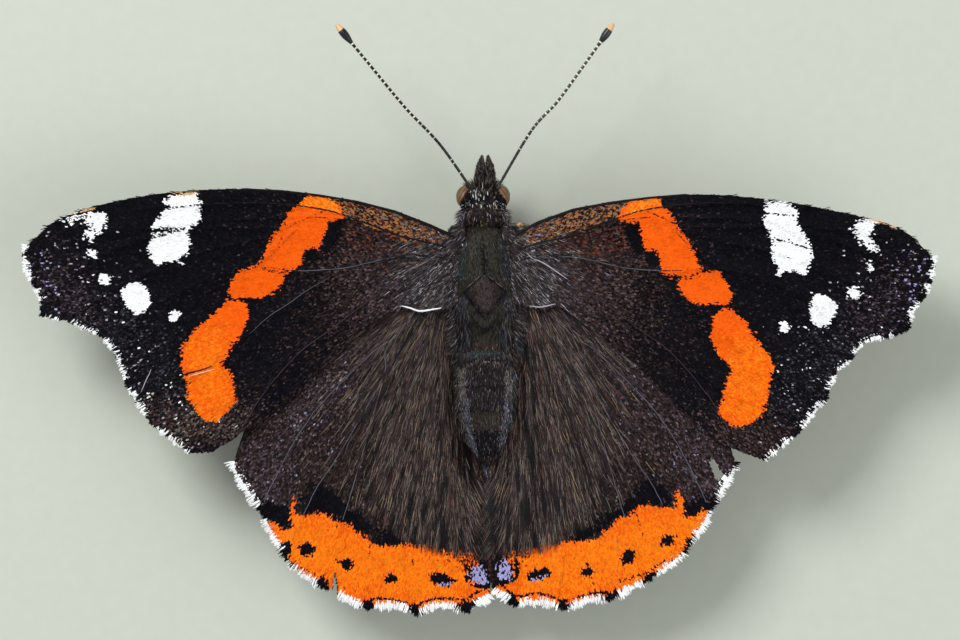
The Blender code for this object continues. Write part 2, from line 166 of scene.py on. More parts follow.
def yawed(places: Array) -> Array:
    """Give positions in metres the slight turn of the trunk about its own middle."""
    turn = math.radians(BODY_YAW_DEG)
    x = places[..., 0] - MEDIAN_X * MM
    y = places[..., 1]
    turned_x = x * math.cos(turn) - y * math.sin(turn) + MEDIAN_X * MM
    return np.stack((turned_x, x * math.sin(turn) + y * math.cos(turn), places[..., 2]), -1)


def unit(vectors: Array) -> Array:
    """Scale vectors to length one."""
    return vectors / np.maximum(np.linalg.norm(vectors, axis=-1, keepdims=True), 1e-12)


def smooth_path(points: Array, steps: int) -> Array:
    """Sample a smooth curve through points at equal lengths along it.

    Args:
        points: The points that it passes through.
        steps: How many equal lengths to divide it into.

    Returns:
        One more point than steps.
    """
    knots = np.asarray(points, float)
    knots = np.concatenate(([2 * knots[0] - knots[1]], knots, [2 * knots[-1] - knots[-2]]))
    t = np.linspace(0.0, 1.0, 24, endpoint=False)[:, None]
    fine = []
    for a, b, c, d in zip(knots, knots[1:], knots[2:], knots[3:]):
        fine.append(0.5 * (2 * b + (c - a) * t + (2 * a - 5 * b + 4 * c - d) * t**2
                           + (3 * b - a - 3 * c + d) * t**3))
    curve = np.concatenate([*fine, knots[-2:-1]])
    gone = lengths(curve)
    return along_path(np.linspace(0.0, gone[-1], steps + 1), gone, curve)


def lengths(path: Array) -> Array:
    """Length along a path from its start to each of its points."""
    return np.concatenate(([0.0], np.cumsum(np.linalg.norm(np.diff(path, axis=0), axis=1))))


def along_path(at: Array, known: Array, values: Array) -> Array:
    """Read each column of values, known at some lengths, at other lengths."""
    return np.column_stack([np.interp(at, known, column) for column in values.T])


def grid_faces(rows: int, columns: int, wraps: bool = True) -> Array:
    """Four-cornered faces over a grid of points.

    Args:
        rows: Rows of points.
        columns: Points in a row.
        wraps: Whether the last column joins the first.

    Returns:
        Four corner numbers for each face.
    """
    step = np.arange(rows - 1)[:, None] * columns
    edge = np.arange(columns if wraps else columns - 1)[None]
    ahead = (edge + 1) % columns
    faces = np.stack((step + edge, step + ahead, step + columns + ahead, step + columns + edge), -1)
    return faces.reshape(-1, 4)


def pairs(text: str) -> Pixels:
    """Read points written as "column,row", and pass over any other word."""
    return tuple(tuple(map(float, word.split(","))) for word in text.split() if "," in word)


def mixture(text: str) -> tuple[tuple[Pigment, float], ...]:
    """Read pigments and their shares, written as "UMBER 0.3 SOOT 0.7"."""
    words = text.split()
    return tuple((Pigment[name], float(share)) for name, share in zip(words[::2], words[1::2]))


def within(measures: dict[str, Array], region: str) -> Array:
    """Tell which places lie between the limits of a region, written as "name low high"."""
    words = region.split()
    return np.all([(measures[name] > float(low)) & (measures[name] < float(high))
                   for name, low, high in zip(words[::3], words[1::3], words[2::3])], axis=0)


def mixed(text: str, count: int, rng: Random) -> Array:
    """Draw pigment marks at random from a mixture."""
    kinds, shares = zip(*mixture(text))
    return np.array([kind.mark for kind in kinds])[rng.choice(len(kinds), count, p=shares)]


def inside(points: Array, outline: Array) -> Array:
    """Tell which points lie inside a closed outline in plan."""
    found = np.zeros(len(points), bool)
    x, y = points[:, 0], points[:, 1]
    for (ax, ay), (bx, by) in zip(outline, np.roll(outline, -1, axis=0)):
        if ay != by:
            crosses = (ay > y) != (by > y)
            found ^= crosses & (x < (bx - ax) * (y - ay) / (by - ay) + ax)
    return found


def away(points: Array, path: Array, closed: bool = False) -> Array:
    """Distance in plan from each point to a path.

    Args:
        points: The points to measure from.
        path: The path's own points.
        closed: Whether its last point joins its first.

    Returns:
        One distance for each point.
    """
    best = np.full(len(points), np.inf)
    ends = np.roll(path, -1, axis=0) if closed else path[1:]
    for a, b in zip(path, ends):
        along = b - a
        share = np.clip((points - a) @ along / max(along @ along, 1e-9), 0.0, 1.0)
        best = np.minimum(best, np.linalg.norm(points - a - share[:, None] * along, axis=1))
    return best


def cloud(points: Array, size: float, seed: int) -> Array:
    """Smooth random values between 0 and 1 over the plan.

    Args:
        points: Places to read them at.
        size: Width of one blotch in millimetres.
        seed: Picks the pattern.

    Returns:
        One value for each point.
    """
    table = np.random.default_rng(seed).random((64, 64))
    cell = points[:, :2] / size
    low = np.floor(cell).astype(int)
    share = cell - low
    share = share * share * (3 - 2 * share)
    a, b = low[:, 0] % 64, low[:, 1] % 64
    c, d = (a + 1) % 64, (b + 1) % 64
    near = table[a, b] * (1 - share[:, 0]) + table[c, b] * share[:, 0]
    far = table[a, d] * (1 - share[:, 0]) + table[c, d] * share[:, 0]
    return near * (1 - share[:, 1]) + far * share[:, 1]


def add_node(tree: Tree, kind: str, settings: dict[str, Any] | None = None,
             links: dict[Any, Any] | None = None) -> bpy.types.Node:
    """Add a node to a material.

    Args:
        tree: The material's node tree.
        kind: The node's Blender type.
        settings: Properties by name, and socket values by socket name or number.
        links: Output sockets to join to input sockets, by socket name or number.

    Returns:
        The new node.
    """
    node = tree.nodes.new(kind)
    for name, value in (settings or {}).items():
        if isinstance(name, str) and hasattr(node, name):
            setattr(node, name, value)
        else:
            node.inputs[name].default_value = value
    for name, source in (links or {}).items():
        tree.links.new(source, node.inputs[name])
    return node


@dataclass(frozen=True)
class Finish:
    """Cuticle, scale or hair: a pigment carried by each piece of it, with its grain and gloss.

    Every kind of surface here is chitin, so its IOR stays close to 1.56; what differs is how
    finely it is ridged, which sets how much it scatters. Scales and hairs are ridged and matt,
    bare cuticle is smooth and has a low shine.
    """

    name: str
    roughness: float
    gloss: float
    grain_low: float = 0.72
    grain_high: float = 1.3
    relief_mm: float = 0.05
    relief_size_mm: float = 0.08
    blotch_mm: float = 0.9
    ior: float = 1.56

    def material(self) -> bpy.types.Material:
        """Build the material, or return it if it has been built already."""
        made = bpy.data.materials.get(self.name)
        if made:
            return made
        made = bpy.data.materials.new(self.name)
        made.use_nodes = True
        tree = made.node_tree
        shader = tree.nodes["Principled BSDF"]
        shader.inputs["IOR"].default_value = self.ior
        shader.inputs["Specular IOR Level"].default_value = self.gloss
        place = add_node(tree, "ShaderNodeTexCoord").outputs["Object"]
        tree.links.new(self.colour(tree, place), shader.inputs["Base Color"])
        self.surface(tree, place, shader)
        made.diffuse_color = linear(Pigment.UMBER.value)
        return made

    def colour(self, tree: Tree, place: Socket) -> Socket:
        """Read each piece's pigment, and lighten or darken it by its own grain and by blotches.

        Args:
            tree: The material's node tree.
            place: The object coordinates.

        Returns:
            The colour socket.
        """
        pigment = add_node(tree, "ShaderNodeAttribute", {"attribute_name": "pigment"})
        ramp = add_node(tree, "ShaderNodeValToRGB", links={"Fac": pigment.outputs["Fac"]})
        ramp.color_ramp.interpolation = "CONSTANT"
        for at, kind in enumerate(Pigment):
            stops = ramp.color_ramp.elements
            stop = stops[at] if at < len(stops) else stops.new(at / len(Pigment))
            stop.position = at / len(Pigment)
            stop.color = linear(kind.value)
        grain = add_node(tree, "ShaderNodeAttribute", {"attribute_name": "grain"})
        lighter = add_node(tree, "ShaderNodeMapRange",
                           {"To Min": self.grain_low, "To Max": self.grain_high},
                           {"Value": grain.outputs["Fac"]})
        blotch = add_node(tree, "ShaderNodeTexNoise",
                          {"Scale": 1.0 / (self.blotch_mm * MM), "Detail": 3.0, "Roughness": 0.6},
                          {"Vector": place})
        worn = add_node(tree, "ShaderNodeMapRange",
                        {"From Min": 0.3, "From Max": 0.7, "To Min": 0.88, "To Max": 1.1},
                        {"Value": blotch.outputs["Fac"]})
        both = add_node(tree, "ShaderNodeMath", {"operation": "MULTIPLY"},
                        {0: lighter.outputs["Result"], 1: worn.outputs["Result"]})
        shaded = add_node(tree, "ShaderNodeMix",
                          {"data_type": "RGBA", "blend_type": "MULTIPLY", "Factor": 1.0},
                          {6: ramp.outputs["Color"], 7: both.outputs["Value"]})
        return shaded.outputs[2]

    def surface(self, tree: Tree, place: Socket, shader: bpy.types.Node) -> None:
        """Give the shader its uneven roughness and its fine relief.

        Args:
            tree: The material's node tree.
            place: The object coordinates.
            shader: The shader to join them to.
        """
        fine = add_node(tree, "ShaderNodeTexNoise",
                        {"Scale": 1.0 / (self.relief_size_mm * MM), "Detail": 2.0},
                        {"Vector": place})
        rough = add_node(tree, "ShaderNodeMapRange",
                         {"To Min": self.roughness - 0.1, "To Max": self.roughness + 0.1},
                         {"Value": fine.outputs["Fac"]})
        tree.links.new(rough.outputs["Result"], shader.inputs["Roughness"])
        bump = add_node(tree, "ShaderNodeBump", {"Distance": self.relief_mm * MM, "Strength": 0.35},
                        {"Height": fine.outputs["Fac"]})
        tree.links.new(bump.outputs["Normal"], shader.inputs["Normal"])


# Dry wing scales: flat chitin plates with open ridges, so they scatter nearly all light. The
# real ridges are 0.002 mm apart; relief is drawn 0.08 mm wide, about a pixel, to show at all.
# grain_high, here and on the hair, lets the rare light scales among dark ones be painted glints.
WING_SCALES = Finish("chitin_wing_scales", roughness=0.62, gloss=0.05, grain_low=0.4, grain_high=3.0)
# The wing's own membrane, a cured film of two cuticle layers, duller on the side that has scales.
WING_MEMBRANE = Finish("chitin_wing_membrane", roughness=0.55, gloss=0.1)
# Hair scales and bristles: tapering chitin threads, whose soft streaks of light follow them.
HAIR = Finish("chitin_hair", roughness=0.5, gloss=0.15, grain_low=0.45, grain_high=2.8)
# Armour plates of the trunk: hardened cuticle, dusted with scales that leave it half matt.
CUTICLE = Finish("hardened_cuticle", roughness=0.5, gloss=0.15, relief_size_mm=0.12)
# Polished cuticle of antennae, legs and tongue, smooth enough for a thin highlight.
POLISHED = Finish("polished_cuticle", roughness=0.34, gloss=0.5, grain_low=0.85, grain_high=1.15)


@dataclass(frozen=True)
class EyeFinish(Finish):
    """A compound eye: thousands of hard clear lenses over bands of brown pigment, with rose-tan streaks of
    painted highlight.

    The lenses are 0.025 mm across, a third of a pixel, so they are drawn 0.07 mm across.
    """

    facet_mm: float = 0.07
    dome_mm: float = 0.02
    blotch_mm: float = 0.25
    amber: str = "#63421B"
    # The colour of the two streaks of painted highlight on the lenses.
    pink: str = "#83604A"
    olive: str = "#574C1F"
    dark: str = "#301E0F"
    rim: str = "#A0854E"

    def colour(self, tree: Tree, place: Socket) -> Socket:
        """Brown bands along the head's side of the eye with two rose-tan streaks of painted highlight,
        olive in front, a tan rim.

        Args:
            tree: The material's node tree.
            place: The object coordinates.

        Returns:
            The colour socket.
        """
        band = add_node(tree, "ShaderNodeAttribute", {"attribute_name": "band"})
        ramp = add_node(tree, "ShaderNodeValToRGB", links={"Fac": band.outputs["Fac"]})
        stops = ramp.color_ramp.elements
        shades = ((0.0, self.dark), (0.52, self.amber), (0.6, self.pink), (0.65, self.dark),
                  (0.72, self.pink), (0.79, self.amber), (0.87, self.olive), (0.96, self.olive),
                  (0.99, self.rim))
        for at, (share, code) in enumerate(shades):
            stop = stops[at] if at < 2 else stops.new(share)
            stop.position = share
            stop.color = linear(code)
        blotch = add_node(tree, "ShaderNodeTexNoise",
                          {"Scale": 1.0 / (self.blotch_mm * MM), "Detail": 2.0}, {"Vector": place})
        return add_node(tree, "ShaderNodeMix",
                        {"data_type": "RGBA", "blend_type": "OVERLAY", "Factor": 0.35},
                        {6: ramp.outputs["Color"], 7: blotch.outputs["Fac"]}).outputs[2]

    def surface(self, tree: Tree, place: Socket, shader: bpy.types.Node) -> None:
        """Dome every lens a little, so that the highlight breaks up over the facets."""
        lens = add_node(tree, "ShaderNodeTexVoronoi", {"Scale": 1.0 / (self.facet_mm * MM)},
                        {"Vector": place})
        bump = add_node(tree, "ShaderNodeBump",
                        {"Distance": self.dome_mm * MM, "Strength": 0.5, "invert": True},
                        {"Height": lens.outputs["Distance"]})
        rough = add_node(tree, "ShaderNodeMapRange",
                         {"From Max": 0.6, "To Min": self.roughness, "To Max": self.roughness + 0.2},
                         {"Value": lens.outputs["Distance"]})
        tree.links.new(rough.outputs["Result"], shader.inputs["Roughness"])
        tree.links.new(bump.outputs["Normal"], shader.inputs["Normal"])


# Clear corneal lenses: hard, wet-looking, with one soft highlight.
EYE = EyeFinish("corneal_lenses", roughness=0.24, gloss=0.35)


@dataclass(frozen=True)
class PaperFinish:
    """Matt cotton paper, as a seamless studio backdrop is: no gloss, a faint tooth of 1 mm."""

    name: str = "matt_backdrop_paper"
    shade: str = "#C9CEC2"
    darker: str = "#C3C9BC"
    tooth_mm: float = 1.0
    relief_mm: float = 0.02
    roughness: float = 0.95
    gloss: float = 0.1

    def material(self) -> bpy.types.Material:
        """Build the material."""
        made = bpy.data.materials.new(self.name)
        made.use_nodes = True
        tree = made.node_tree
        shader = tree.nodes["Principled BSDF"]
        shader.inputs["Roughness"].default_value = self.roughness
        shader.inputs["Specular IOR Level"].default_value = self.gloss
        place = add_node(tree, "ShaderNodeTexCoord").outputs["Object"]
        tooth = add_node(tree, "ShaderNodeTexNoise", {"Scale": 1.0 / (self.tooth_mm * MM)},
                         {"Vector": place})
        mix = add_node(tree, "ShaderNodeMix",
                       {"data_type": "RGBA", 6: linear(self.shade), 7: linear(self.darker)},
                       {"Factor": tooth.outputs["Fac"]})
        tree.links.new(mix.outputs[2], shader.inputs["Base Color"])
        bump = add_node(tree, "ShaderNodeBump", {"Distance": self.relief_mm * MM, "Strength": 0.2},
                        {"Height": tooth.outputs["Fac"]})
        tree.links.new(bump.outputs["Normal"], shader.inputs["Normal"])
        return made


def make_mesh(name: str, places: Array, faces: Array) -> Mesh:
    """Make a smooth mesh of four-cornered faces.

    Args:
        name: The mesh's name.
        places: Corner positions in metres.
        faces: Four corner numbers for each face.

    Returns:
        The mesh.
    """
    mesh = bpy.data.meshes.new(name)
    mesh.vertices.add(len(places))
    mesh.vertices.foreach_set("co", places.astype(np.float32).ravel())
    mesh.loops.add(faces.size)
    mesh.loops.foreach_set("vertex_index", faces.astype(np.int32).ravel())
    mesh.polygons.add(len(faces))
    mesh.polygons.foreach_set("loop_start", np.arange(0, faces.size, 4, dtype=np.int32))
    mesh.update(calc_edges=True)
    mesh.shade_smooth()
    return mesh


def add_attribute(mesh: Mesh, name: str, values: Array, domain: str = "POINT") -> None:
    """Store one number for each point or face of a mesh."""
    attribute = mesh.attributes.new(name, "FLOAT", domain)
    attribute.data.foreach_set("value", np.asarray(values, np.float32).ravel())


def add_piece(mesh: Mesh, finish: Any, nodes: Sequence[str]) -> bpy.types.Object:
    """Add a mesh as a piece that rides on the body and stands for CAD nodes.

    Args:
        mesh: The piece's mesh, in world metres.
        finish: What it is made of.
        nodes: The nodes that it stands for, which it hides.

    Returns:
        The piece.
    """
    piece = bpy.data.objects.new(mesh.name, mesh)
    bpy.context.scene.collection.objects.link(piece)
    mesh.materials.append(finish.material())
    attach(piece, BODY)
    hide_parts(*nodes)
    LOG.info("%s: %d faces", piece.name, len(mesh.polygons))
    return piece


@dataclass(frozen=True)
class Blade:
    """The shape of one scale or hair: widths at stations from its root to its tip.

    Two sides make it a flat vane; three make it a closed spike.
    """

    stations: tuple[float, ...]
    widths: tuple[float, ...]
    sides: int = 2


SCALE_BLADE = Blade(stations=(0.0, 0.5, 1.0), widths=(0.5, 1.0, 0.7))
HAIR_BLADE = Blade(stations=(0.0, 0.5, 1.0), widths=(1.0, 0.8, 0.12), sides=3)
FRINGE_BLADE = Blade(stations=(0.0, 0.5, 1.0), widths=(0.7, 1.0, 0.35))


def grain_of(marks: Array, rng: Random) -> Array:
    """Lightness of single scales: even where they are bright, and speckled where they are dark, the light
    specks partly painted glints.
    """
    bright = [kind.mark for kind in (Pigment.ORANGE, Pigment.TANGERINE, Pigment.AMBER, Pigment.WHITE,
                                     Pigment.IVORY, Pigment.LILAC, Pigment.SILVER, Pigment.BUFF,
                                     Pigment.STONE, Pigment.FAWN, Pigment.COPPER)]
    even = np.clip(rng.normal(0.21, 0.035, len(marks)), 0.0, 1.0)
    return np.where(np.isin(marks, bright), even, rng.random(len(marks)) ** 3.2)


@dataclass
class Coat:
    """Scales or hairs that lie over a surface, all joined in one mesh.

    roots, lie and up are in millimetres on the model; pigments are Pigment marks; unwrap is
    where each root lies on the flattened surface, from 0 to 1 both ways.
    """

    name: str
    blade: Blade
    roots: Array
    lie: Array
    up: Array
    length: Array
    width: Array
    lift: Array
    bend: Array
    pigments: Array
    grain: Array
    unwrap: Array

    def mesh(self) -> Mesh:
        """Lay out every blade and join them."""
        blade = self.blade
        count, rings, sides = len(self.roots), len(blade.stations), blade.sides
        lie = unit(self.lie)
        across = unit(np.cross(lie, self.up))
        up = unit(np.cross(across, lie))
        t = np.array(blade.stations)[None, :, None]
        length = self.length[:, None, None]
        middle = (self.roots[:, None] + lie[:, None] * length * t
                  + up[:, None] * self.lift[:, None, None] * length * t
                  + across[:, None] * self.bend[:, None, None] * length * t**2)
        turn = np.linspace(0.0, 2 * math.pi, sides, endpoint=False)
        half = self.width[:, None, None] * np.array(blade.widths)[None, :, None] / 2
        ring = (across[:, None, None] * np.cos(turn)[None, None, :, None]
                + up[:, None, None] * np.sin(turn)[None, None, :, None])
        places = middle[:, :, None] + ring * half[..., None]
        per = rings * sides
        faces = grid_faces(rings, sides, sides > 2)[None] + (np.arange(count) * per)[:, None, None]
        mesh = make_mesh(self.name, places.reshape(-1, 3) * MM, faces.reshape(-1, 4))
        add_attribute(mesh, "pigment", np.repeat(self.pigments, per))
        add_attribute(mesh, "grain", np.repeat(self.grain, per))
        self.add_bake_map(mesh, rings, sides, faces.reshape(-1))
        return mesh

    def add_bake_map(self, mesh: Mesh, rings: int, sides: int, corners: Array) -> None:
        """Give every blade its own small patch at its root's place on the flattened surface.

        Args:
            mesh: The joined mesh.
            rings: Stations along a blade.
            sides: Corners round a blade.
            corners: The vertex number of every face corner.
        """
        across = np.linspace(0.0, 1.0, sides)[None, None, :, None] * np.array((1.0, 0.0))
        along = np.linspace(0.0, 1.0, rings)[None, :, None, None] * np.array((0.0, 1.0))
        patch = (across + along) * BAKE_PATCH
        base = BAKE_MARGIN + self.unwrap * (1 - 2 * BAKE_MARGIN - BAKE_PATCH)
        spread = (base[:, None, None] + patch).reshape(-1, 2)
        layer = mesh.uv_layers.new(name=BAKE_MAP)
        layer.uv.foreach_set("vector", spread[corners].astype(np.float32).ravel())


class Shape(Enum):
    """How a marking covers the wing."""

    PATCH = "inside a closed outline"
    LINE = "along a path"
    WASH = "thinning out round a point"


@dataclass(frozen=True)
class Mark:
    """One marking, traced in the photograph's pixels.

    size is the width of a line or the radius of a wash in millimetres, chance the share of the
    scales that take the pigment, ragged how far single scales stray over a patch's edge, and
    over the only pigment it changes, if there is one.
    """

    name: str
    shape: Shape
    pigment: Pigment
    points: Pixels
    size: float = 0.1
    chance: float = 1.0
    ragged: float = 0.12
    over: Pigment | None = None

    def covers(self, side: Side, places: Array, rng: Random) -> Array:
        """Pick the scales that this marking colours.

        Args:
            side: The side of the insect the wing is on.
            places: The scales' plan positions.
            rng: The source of the raggedness.

        Returns:
            One truth value for each scale.
        """
        path = picked(side, self.points)
        luck = rng.random(len(places))
        if self.shape is Shape.WASH:
            far = away(places, path) if len(path) > 1 else np.linalg.norm(places - path[0], axis=1)
            return luck < self.chance * np.exp(-(far / self.size) ** 2)
        if self.shape is Shape.LINE:
            wide = self.size / 2 * (0.7 + 0.6 * rng.random(len(places)))
            return (away(places, smooth_path(path, 6 * len(path))) < wide) & (luck < self.chance)
        edge = away(places, path, closed=True) * np.where(inside(places, path), 1.0, -1.0)
        edge += self.ragged * (rng.normal(0.0, 0.7, len(places)) + 1.4 * (cloud(places, 0.5, 7) - 0.5))
        return (edge > 0) & (luck < self.chance)


def marks_of(table: str, side: Side) -> tuple[Mark, ...]:
    """Read the marks of one side's wing from a table.

    Args:
        table: Rows of "name: shape PIGMENT size chance other=value | left traces | right traces;".
            Commas set styles apart that share a trace, slashes set traces apart that share a
            style, and a trace may begin with its own size and chance.
        side: The side to read.

    Returns:
        The marks, the lowest first.
    """
    marks = []
    for row in table.split(";")[:-1]:
        head, *traces = row.split("|")
        name, styles = head.split(":")
        for trace in filter(str.strip, traces[side is Side.RIGHT].split("/")):
            own = [float(word) for word in trace.split() if "," not in word]
            for style in styles.split(","):
                shape, pigment, *words = style.split()
                others = dict(word.split("=") for word in words if "=" in word)
                over = others.pop("over", None)
                marks.append(Mark(
                    name.strip(), Shape[shape.upper()], Pigment[pigment], pairs(trace),
                    *(own or [float(word) for word in words if "=" not in word]),
                    over=Pigment[over] if over else None,
                    **{word: float(value) for word, value in others.items()}))
    return tuple(marks)


@dataclass(frozen=True)
class WingPlan:
    """The outline of one wing from above, as the CAD solid has it, and how high it lies.

    front is the costal edge from root to apex, vein_ends where the veins reach the outer margin
    from apex to rear corner, swells how far the margin between two vein ends stands out, and
    rear the edge from the rear corner back to the root. Inside fold_edge, given as pairs of
    distance back and out, the wing falls to the abdomen's side by fold_depth.
    """

    front: Pixels
    vein_ends: Pixels
    swells: tuple[float, ...]
    rear: Pixels
    root_height: float
    rear_droop: float = 0.0
    tip_rise: float = 1.3
    camber: float = 0.5
    reach: float = 33.0
    droop_start: float = 6.0
    droop_length: float = 15.0
    fold_edge: tuple[tuple[float, float], ...] = ()
    fold_depth: tuple[tuple[float, float], ...] = ()

    def height(self, places: Array) -> Array:
        """Height of the wing's middle surface: a low dihedral with a little camber."""
        share = np.clip(places[:, 0] / self.reach, 0.0, 1.0)
        rise = self.tip_rise * share**1.3 + self.camber * np.sin(math.pi * share)
        behind = np.maximum(0.0, (places[:, 1] - self.droop_start) / self.droop_length)
        height = self.root_height + rise - self.rear_droop * behind**2
        if self.fold_edge:
            edge = np.interp(places[:, 1], *zip(*self.fold_edge))
            depth = np.interp(places[:, 1], *zip(*self.fold_depth))
            height -= depth * np.maximum(edge - places[:, 0], 0.0) ** 1.3
        return height

    def margin(self, steps: int) -> tuple[Array, Array]:
        """The outer margin from apex to rear corner, each stretch between vein ends swollen.

        Args:
            steps: Points on each stretch.

        Returns:
            The points, and the directions out of the wing at them.
        """
        ends = np.array(self.vein_ends)
        points = []
        for a, b, swell in zip(ends, ends[1:], self.swells):
            across = unit(np.array((b[1] - a[1], a[0] - b[0])))
            t = np.arange(steps)[:, None] / steps
            points.append(a + (b - a) * t + across * swell * np.sin(math.pi * t))
        points = np.concatenate([*points, ends[-1:]])
        along = np.gradient(points, axis=0)
        return points, unit(np.stack((along[:, 1], -along[:, 0]), axis=1))


@dataclass(frozen=True)
class Vein:
    """A vein traced in the photograph, with its thickness at the root end in millimetres.

    crest is the colour of a line along the vein's top: steel-grey is painted highlight, sooty and plum the
    vein's dark scales.
    """

    points: Pixels
    thickness: float = 0.2
    crest: Pigment | None = None


@dataclass
class WingSurface:
    """The shape of one wing's membrane: its outline in plan and its height all over."""

    side: Side
    plan: WingPlan
    veins: Sequence[Array]
    tears: Sequence[Array]
    drop: float
    fringe: float
    span_steps: int = 96
    stretch_steps: int = 9
    raster: float = 0.12
    ridge: float = 0.07
    ridge_width: float = 0.14
    pleat: float = 0.11
    pleat_width: float = 0.8

    def __post_init__(self) -> None:
        """Work out the edges, and the height on a fine raster over the wing's box."""
        margin, outward = self.plan.margin(self.stretch_steps)
        t = np.linspace(0.0, 1.0, len(margin))
        full = np.minimum(1.0, np.minimum(t, 1 - t) * 14)[:, None]
        self.outward = outward
        self.edge = margin - outward * self.fringe * full
        self.front = smooth_path(np.array(self.plan.front), self.span_steps)
        self.rear = smooth_path(np.array(self.plan.rear), self.span_steps)[::-1]
        self.front[-1], self.rear[-1] = self.edge[0], self.edge[-1]
        self.outline = np.concatenate((self.front[:-1], self.edge, self.rear[::-1][1:]))
        self.low = self.outline.min(axis=0) - 1.0
        self.high = self.outline.max(axis=0) + 1.0
        counts = np.ceil((self.high - self.low) / self.raster).astype(int) + 1
        grid = np.stack(np.meshgrid(*(np.arange(c) for c in counts), indexing="ij"), axis=-1)
        flat = self.low + grid.reshape(-1, 2) * self.raster
        near = np.full(len(flat), np.inf)
        for vein in self.veins:
            near = np.minimum(near, away(flat, vein))
        raised = self.ridge * np.exp(-(near / self.ridge_width) ** 2)
        raised -= self.pleat * (1 - np.exp(-(near / self.pleat_width) ** 2))
        raised += 0.05 * (cloud(flat, 1.7, 31) - 0.5)
        height = self.plan.height(flat) + raised + self.drop
        self.heights = height.reshape(counts)
        self.slopes = np.stack(np.gradient(self.heights, self.raster), axis=-1)

    def read(self, places: Array) -> tuple[Array, Array]:
        """Height and slope of the membrane.

        Args:
            places: Plan positions.

        Returns:
            The heights, and the slopes along out and back.
        """
        cell = (places - self.low) / self.raster
        low = np.clip(cell.astype(int), 0, np.array(self.heights.shape) - 2)
        x, y = np.clip(cell - low, 0.0, 1.0).T
        a, b = low.T
        height = (self.heights[a, b] * (1 - x) * (1 - y) + self.heights[a + 1, b] * x * (1 - y)
                  + self.heights[a, b + 1] * (1 - x) * y + self.heights[a + 1, b + 1] * x * y)
        return height, self.slopes[a, b]

    def torn(self, places: Array) -> Array:
        """Tell which places fall in a tear."""
        found = np.zeros(len(places), bool)
        for tear in self.tears:
            found |= inside(places, tear)
        return found

    def lattice(self, step_out: float, step_back: float, rng: Random) -> Array:
        """Places for scales: a brick-like lattice over the wing, a little shaken.

        Args:
            step_out: Distance between two in a row.
            step_back: Distance between rows.
            rng: The source of the shake.

        Returns:
            Plan positions inside the outline and outside every tear.
        """
        rows = np.arange(self.low[1], self.high[1], step_back)
        row = np.arange(self.low[0], self.high[0], step_out)
        grid = np.stack(np.meshgrid(row, rows), axis=-1)
        grid[1::2, :, 0] += step_out / 2
        places = grid.reshape(-1, 2)
        places = places + rng.uniform(-0.35, 0.35, places.shape) * (step_out, step_back)
        places = places[inside(places, self.outline)]
        return places[~self.torn(places)]

    def unwrap(self, places: Array) -> Array:
        """Where places lie on the flattened wing, which is flat enough that its plan serves."""
        return (places - self.low) / (self.high - self.low).max()

    def world_frame(self, places: Array, lift: float) -> tuple[Array, Array]:
        """Positions on the membrane and the directions up from it, on the model.

        Args:
            places: Plan positions.
            lift: Height above the middle surface.

        Returns:
            Positions and unit normals, in model millimetres.
        """
        height, slope = self.read(places)
        roots = to_world(self.side, np.column_stack((places, height + lift))) / MM
        up = unit(np.column_stack((-self.side.value * slope[:, 0], -slope[:, 1], np.ones(len(slope)))))
        return roots, up

    def membrane(self, name: str) -> Mesh:
        """The membrane as a single sheet, without its tears, ready to be thickened."""
        rows = len(self.edge)
        root = np.linspace(self.front[0], self.rear[0], rows)
        u = np.linspace(0.0, 1.0, self.span_steps + 1)[:, None, None]
        v = np.linspace(0.0, 1.0, rows)[None, :, None]
        corners = ((1 - u) * (1 - v) * self.front[0] + u * (1 - v) * self.front[-1]
                   + (1 - u) * v * self.rear[0] + u * v * self.rear[-1])
        plan = ((1 - v) * self.front[:, None] + v * self.rear[:, None]
                + (1 - u) * root[None] + u * self.edge[None] - corners).reshape(-1, 2)
        turns = FLIPPED if self.side is Side.LEFT else FLIPPED[::-1]
        faces = grid_faces(self.span_steps + 1, rows, False)[:, turns]
        faces = faces[~self.torn(plan[faces].mean(axis=1))]
        mesh = make_mesh(name, self.world_frame(plan, 0.0)[0] * MM, faces)
        self.face_middles = plan[faces].mean(axis=1)
        return mesh


FOLD_EDGE = pairs("0,2.9 6.5,2.85 8,2.6 9.4,2 10.5,1.5 12,1.1 19,0.8")
FOLD_DEPTH = pairs("0,0.9 6,0.8 8.5,0.6 10,0.4 11.5,0.25 19,0.1")

LEFT_FOREWING = WingPlan(
    front=pairs("1.5,-5.7 2.55,-6.2 6.05,-7.7 10.35,-8.75 16.05,-9.4 21.8,-9.25 26.8,-8.45 30.35,-7.3 "
                "32.6,-5.4"),
    vein_ends=pairs("32.6,-5.4 32.35,-2.7 31.7,-0.3 29.65,0.1 27.4,1.15 25.65,4.6 23.8,7.45 20.95,9.2"),
    swells=(0.4, -0.2, 0.05, 0.0, -0.35, 0.0, 0.1),
    rear=pairs("20.95,9.2 19.2,9.05 16.55,7.25 13.2,4.55 11.05,2.3 9.05,0.7 5.85,-1.1 4.3,-0.85 "
                "2.6,-1.2 1.5,-1.7"),
    root_height=7.3,
)
RIGHT_FOREWING = WingPlan(
    front=pairs("1.5,-5.8 2.5,-6.35 5.35,-7.7 9.65,-8.55 15.35,-9.05 21.1,-8.55 26.1,-7.6 29.65,-6.55 "
                "31.85,-4.6"),
    vein_ends=pairs("31.85,-4.6 31.35,-1.6 30.3,0.7 28.5,1.3 26.3,2.6 24.4,5.65 22.5,8.05 19.85,9.7"),
    swells=(0.3, -0.3, 0.1, -0.45, -0.4, -0.15, 0.05),
    rear=pairs("19.85,9.7 18.55,9.3 16.45,8.3 14.65,6.7 12.5,4.75 10,2.25 7.5,0.4 5.05,-1.25 "
                "3.95,-1.05 2.6,-1.5 1.5,-1.8"),
    root_height=7.3,
)
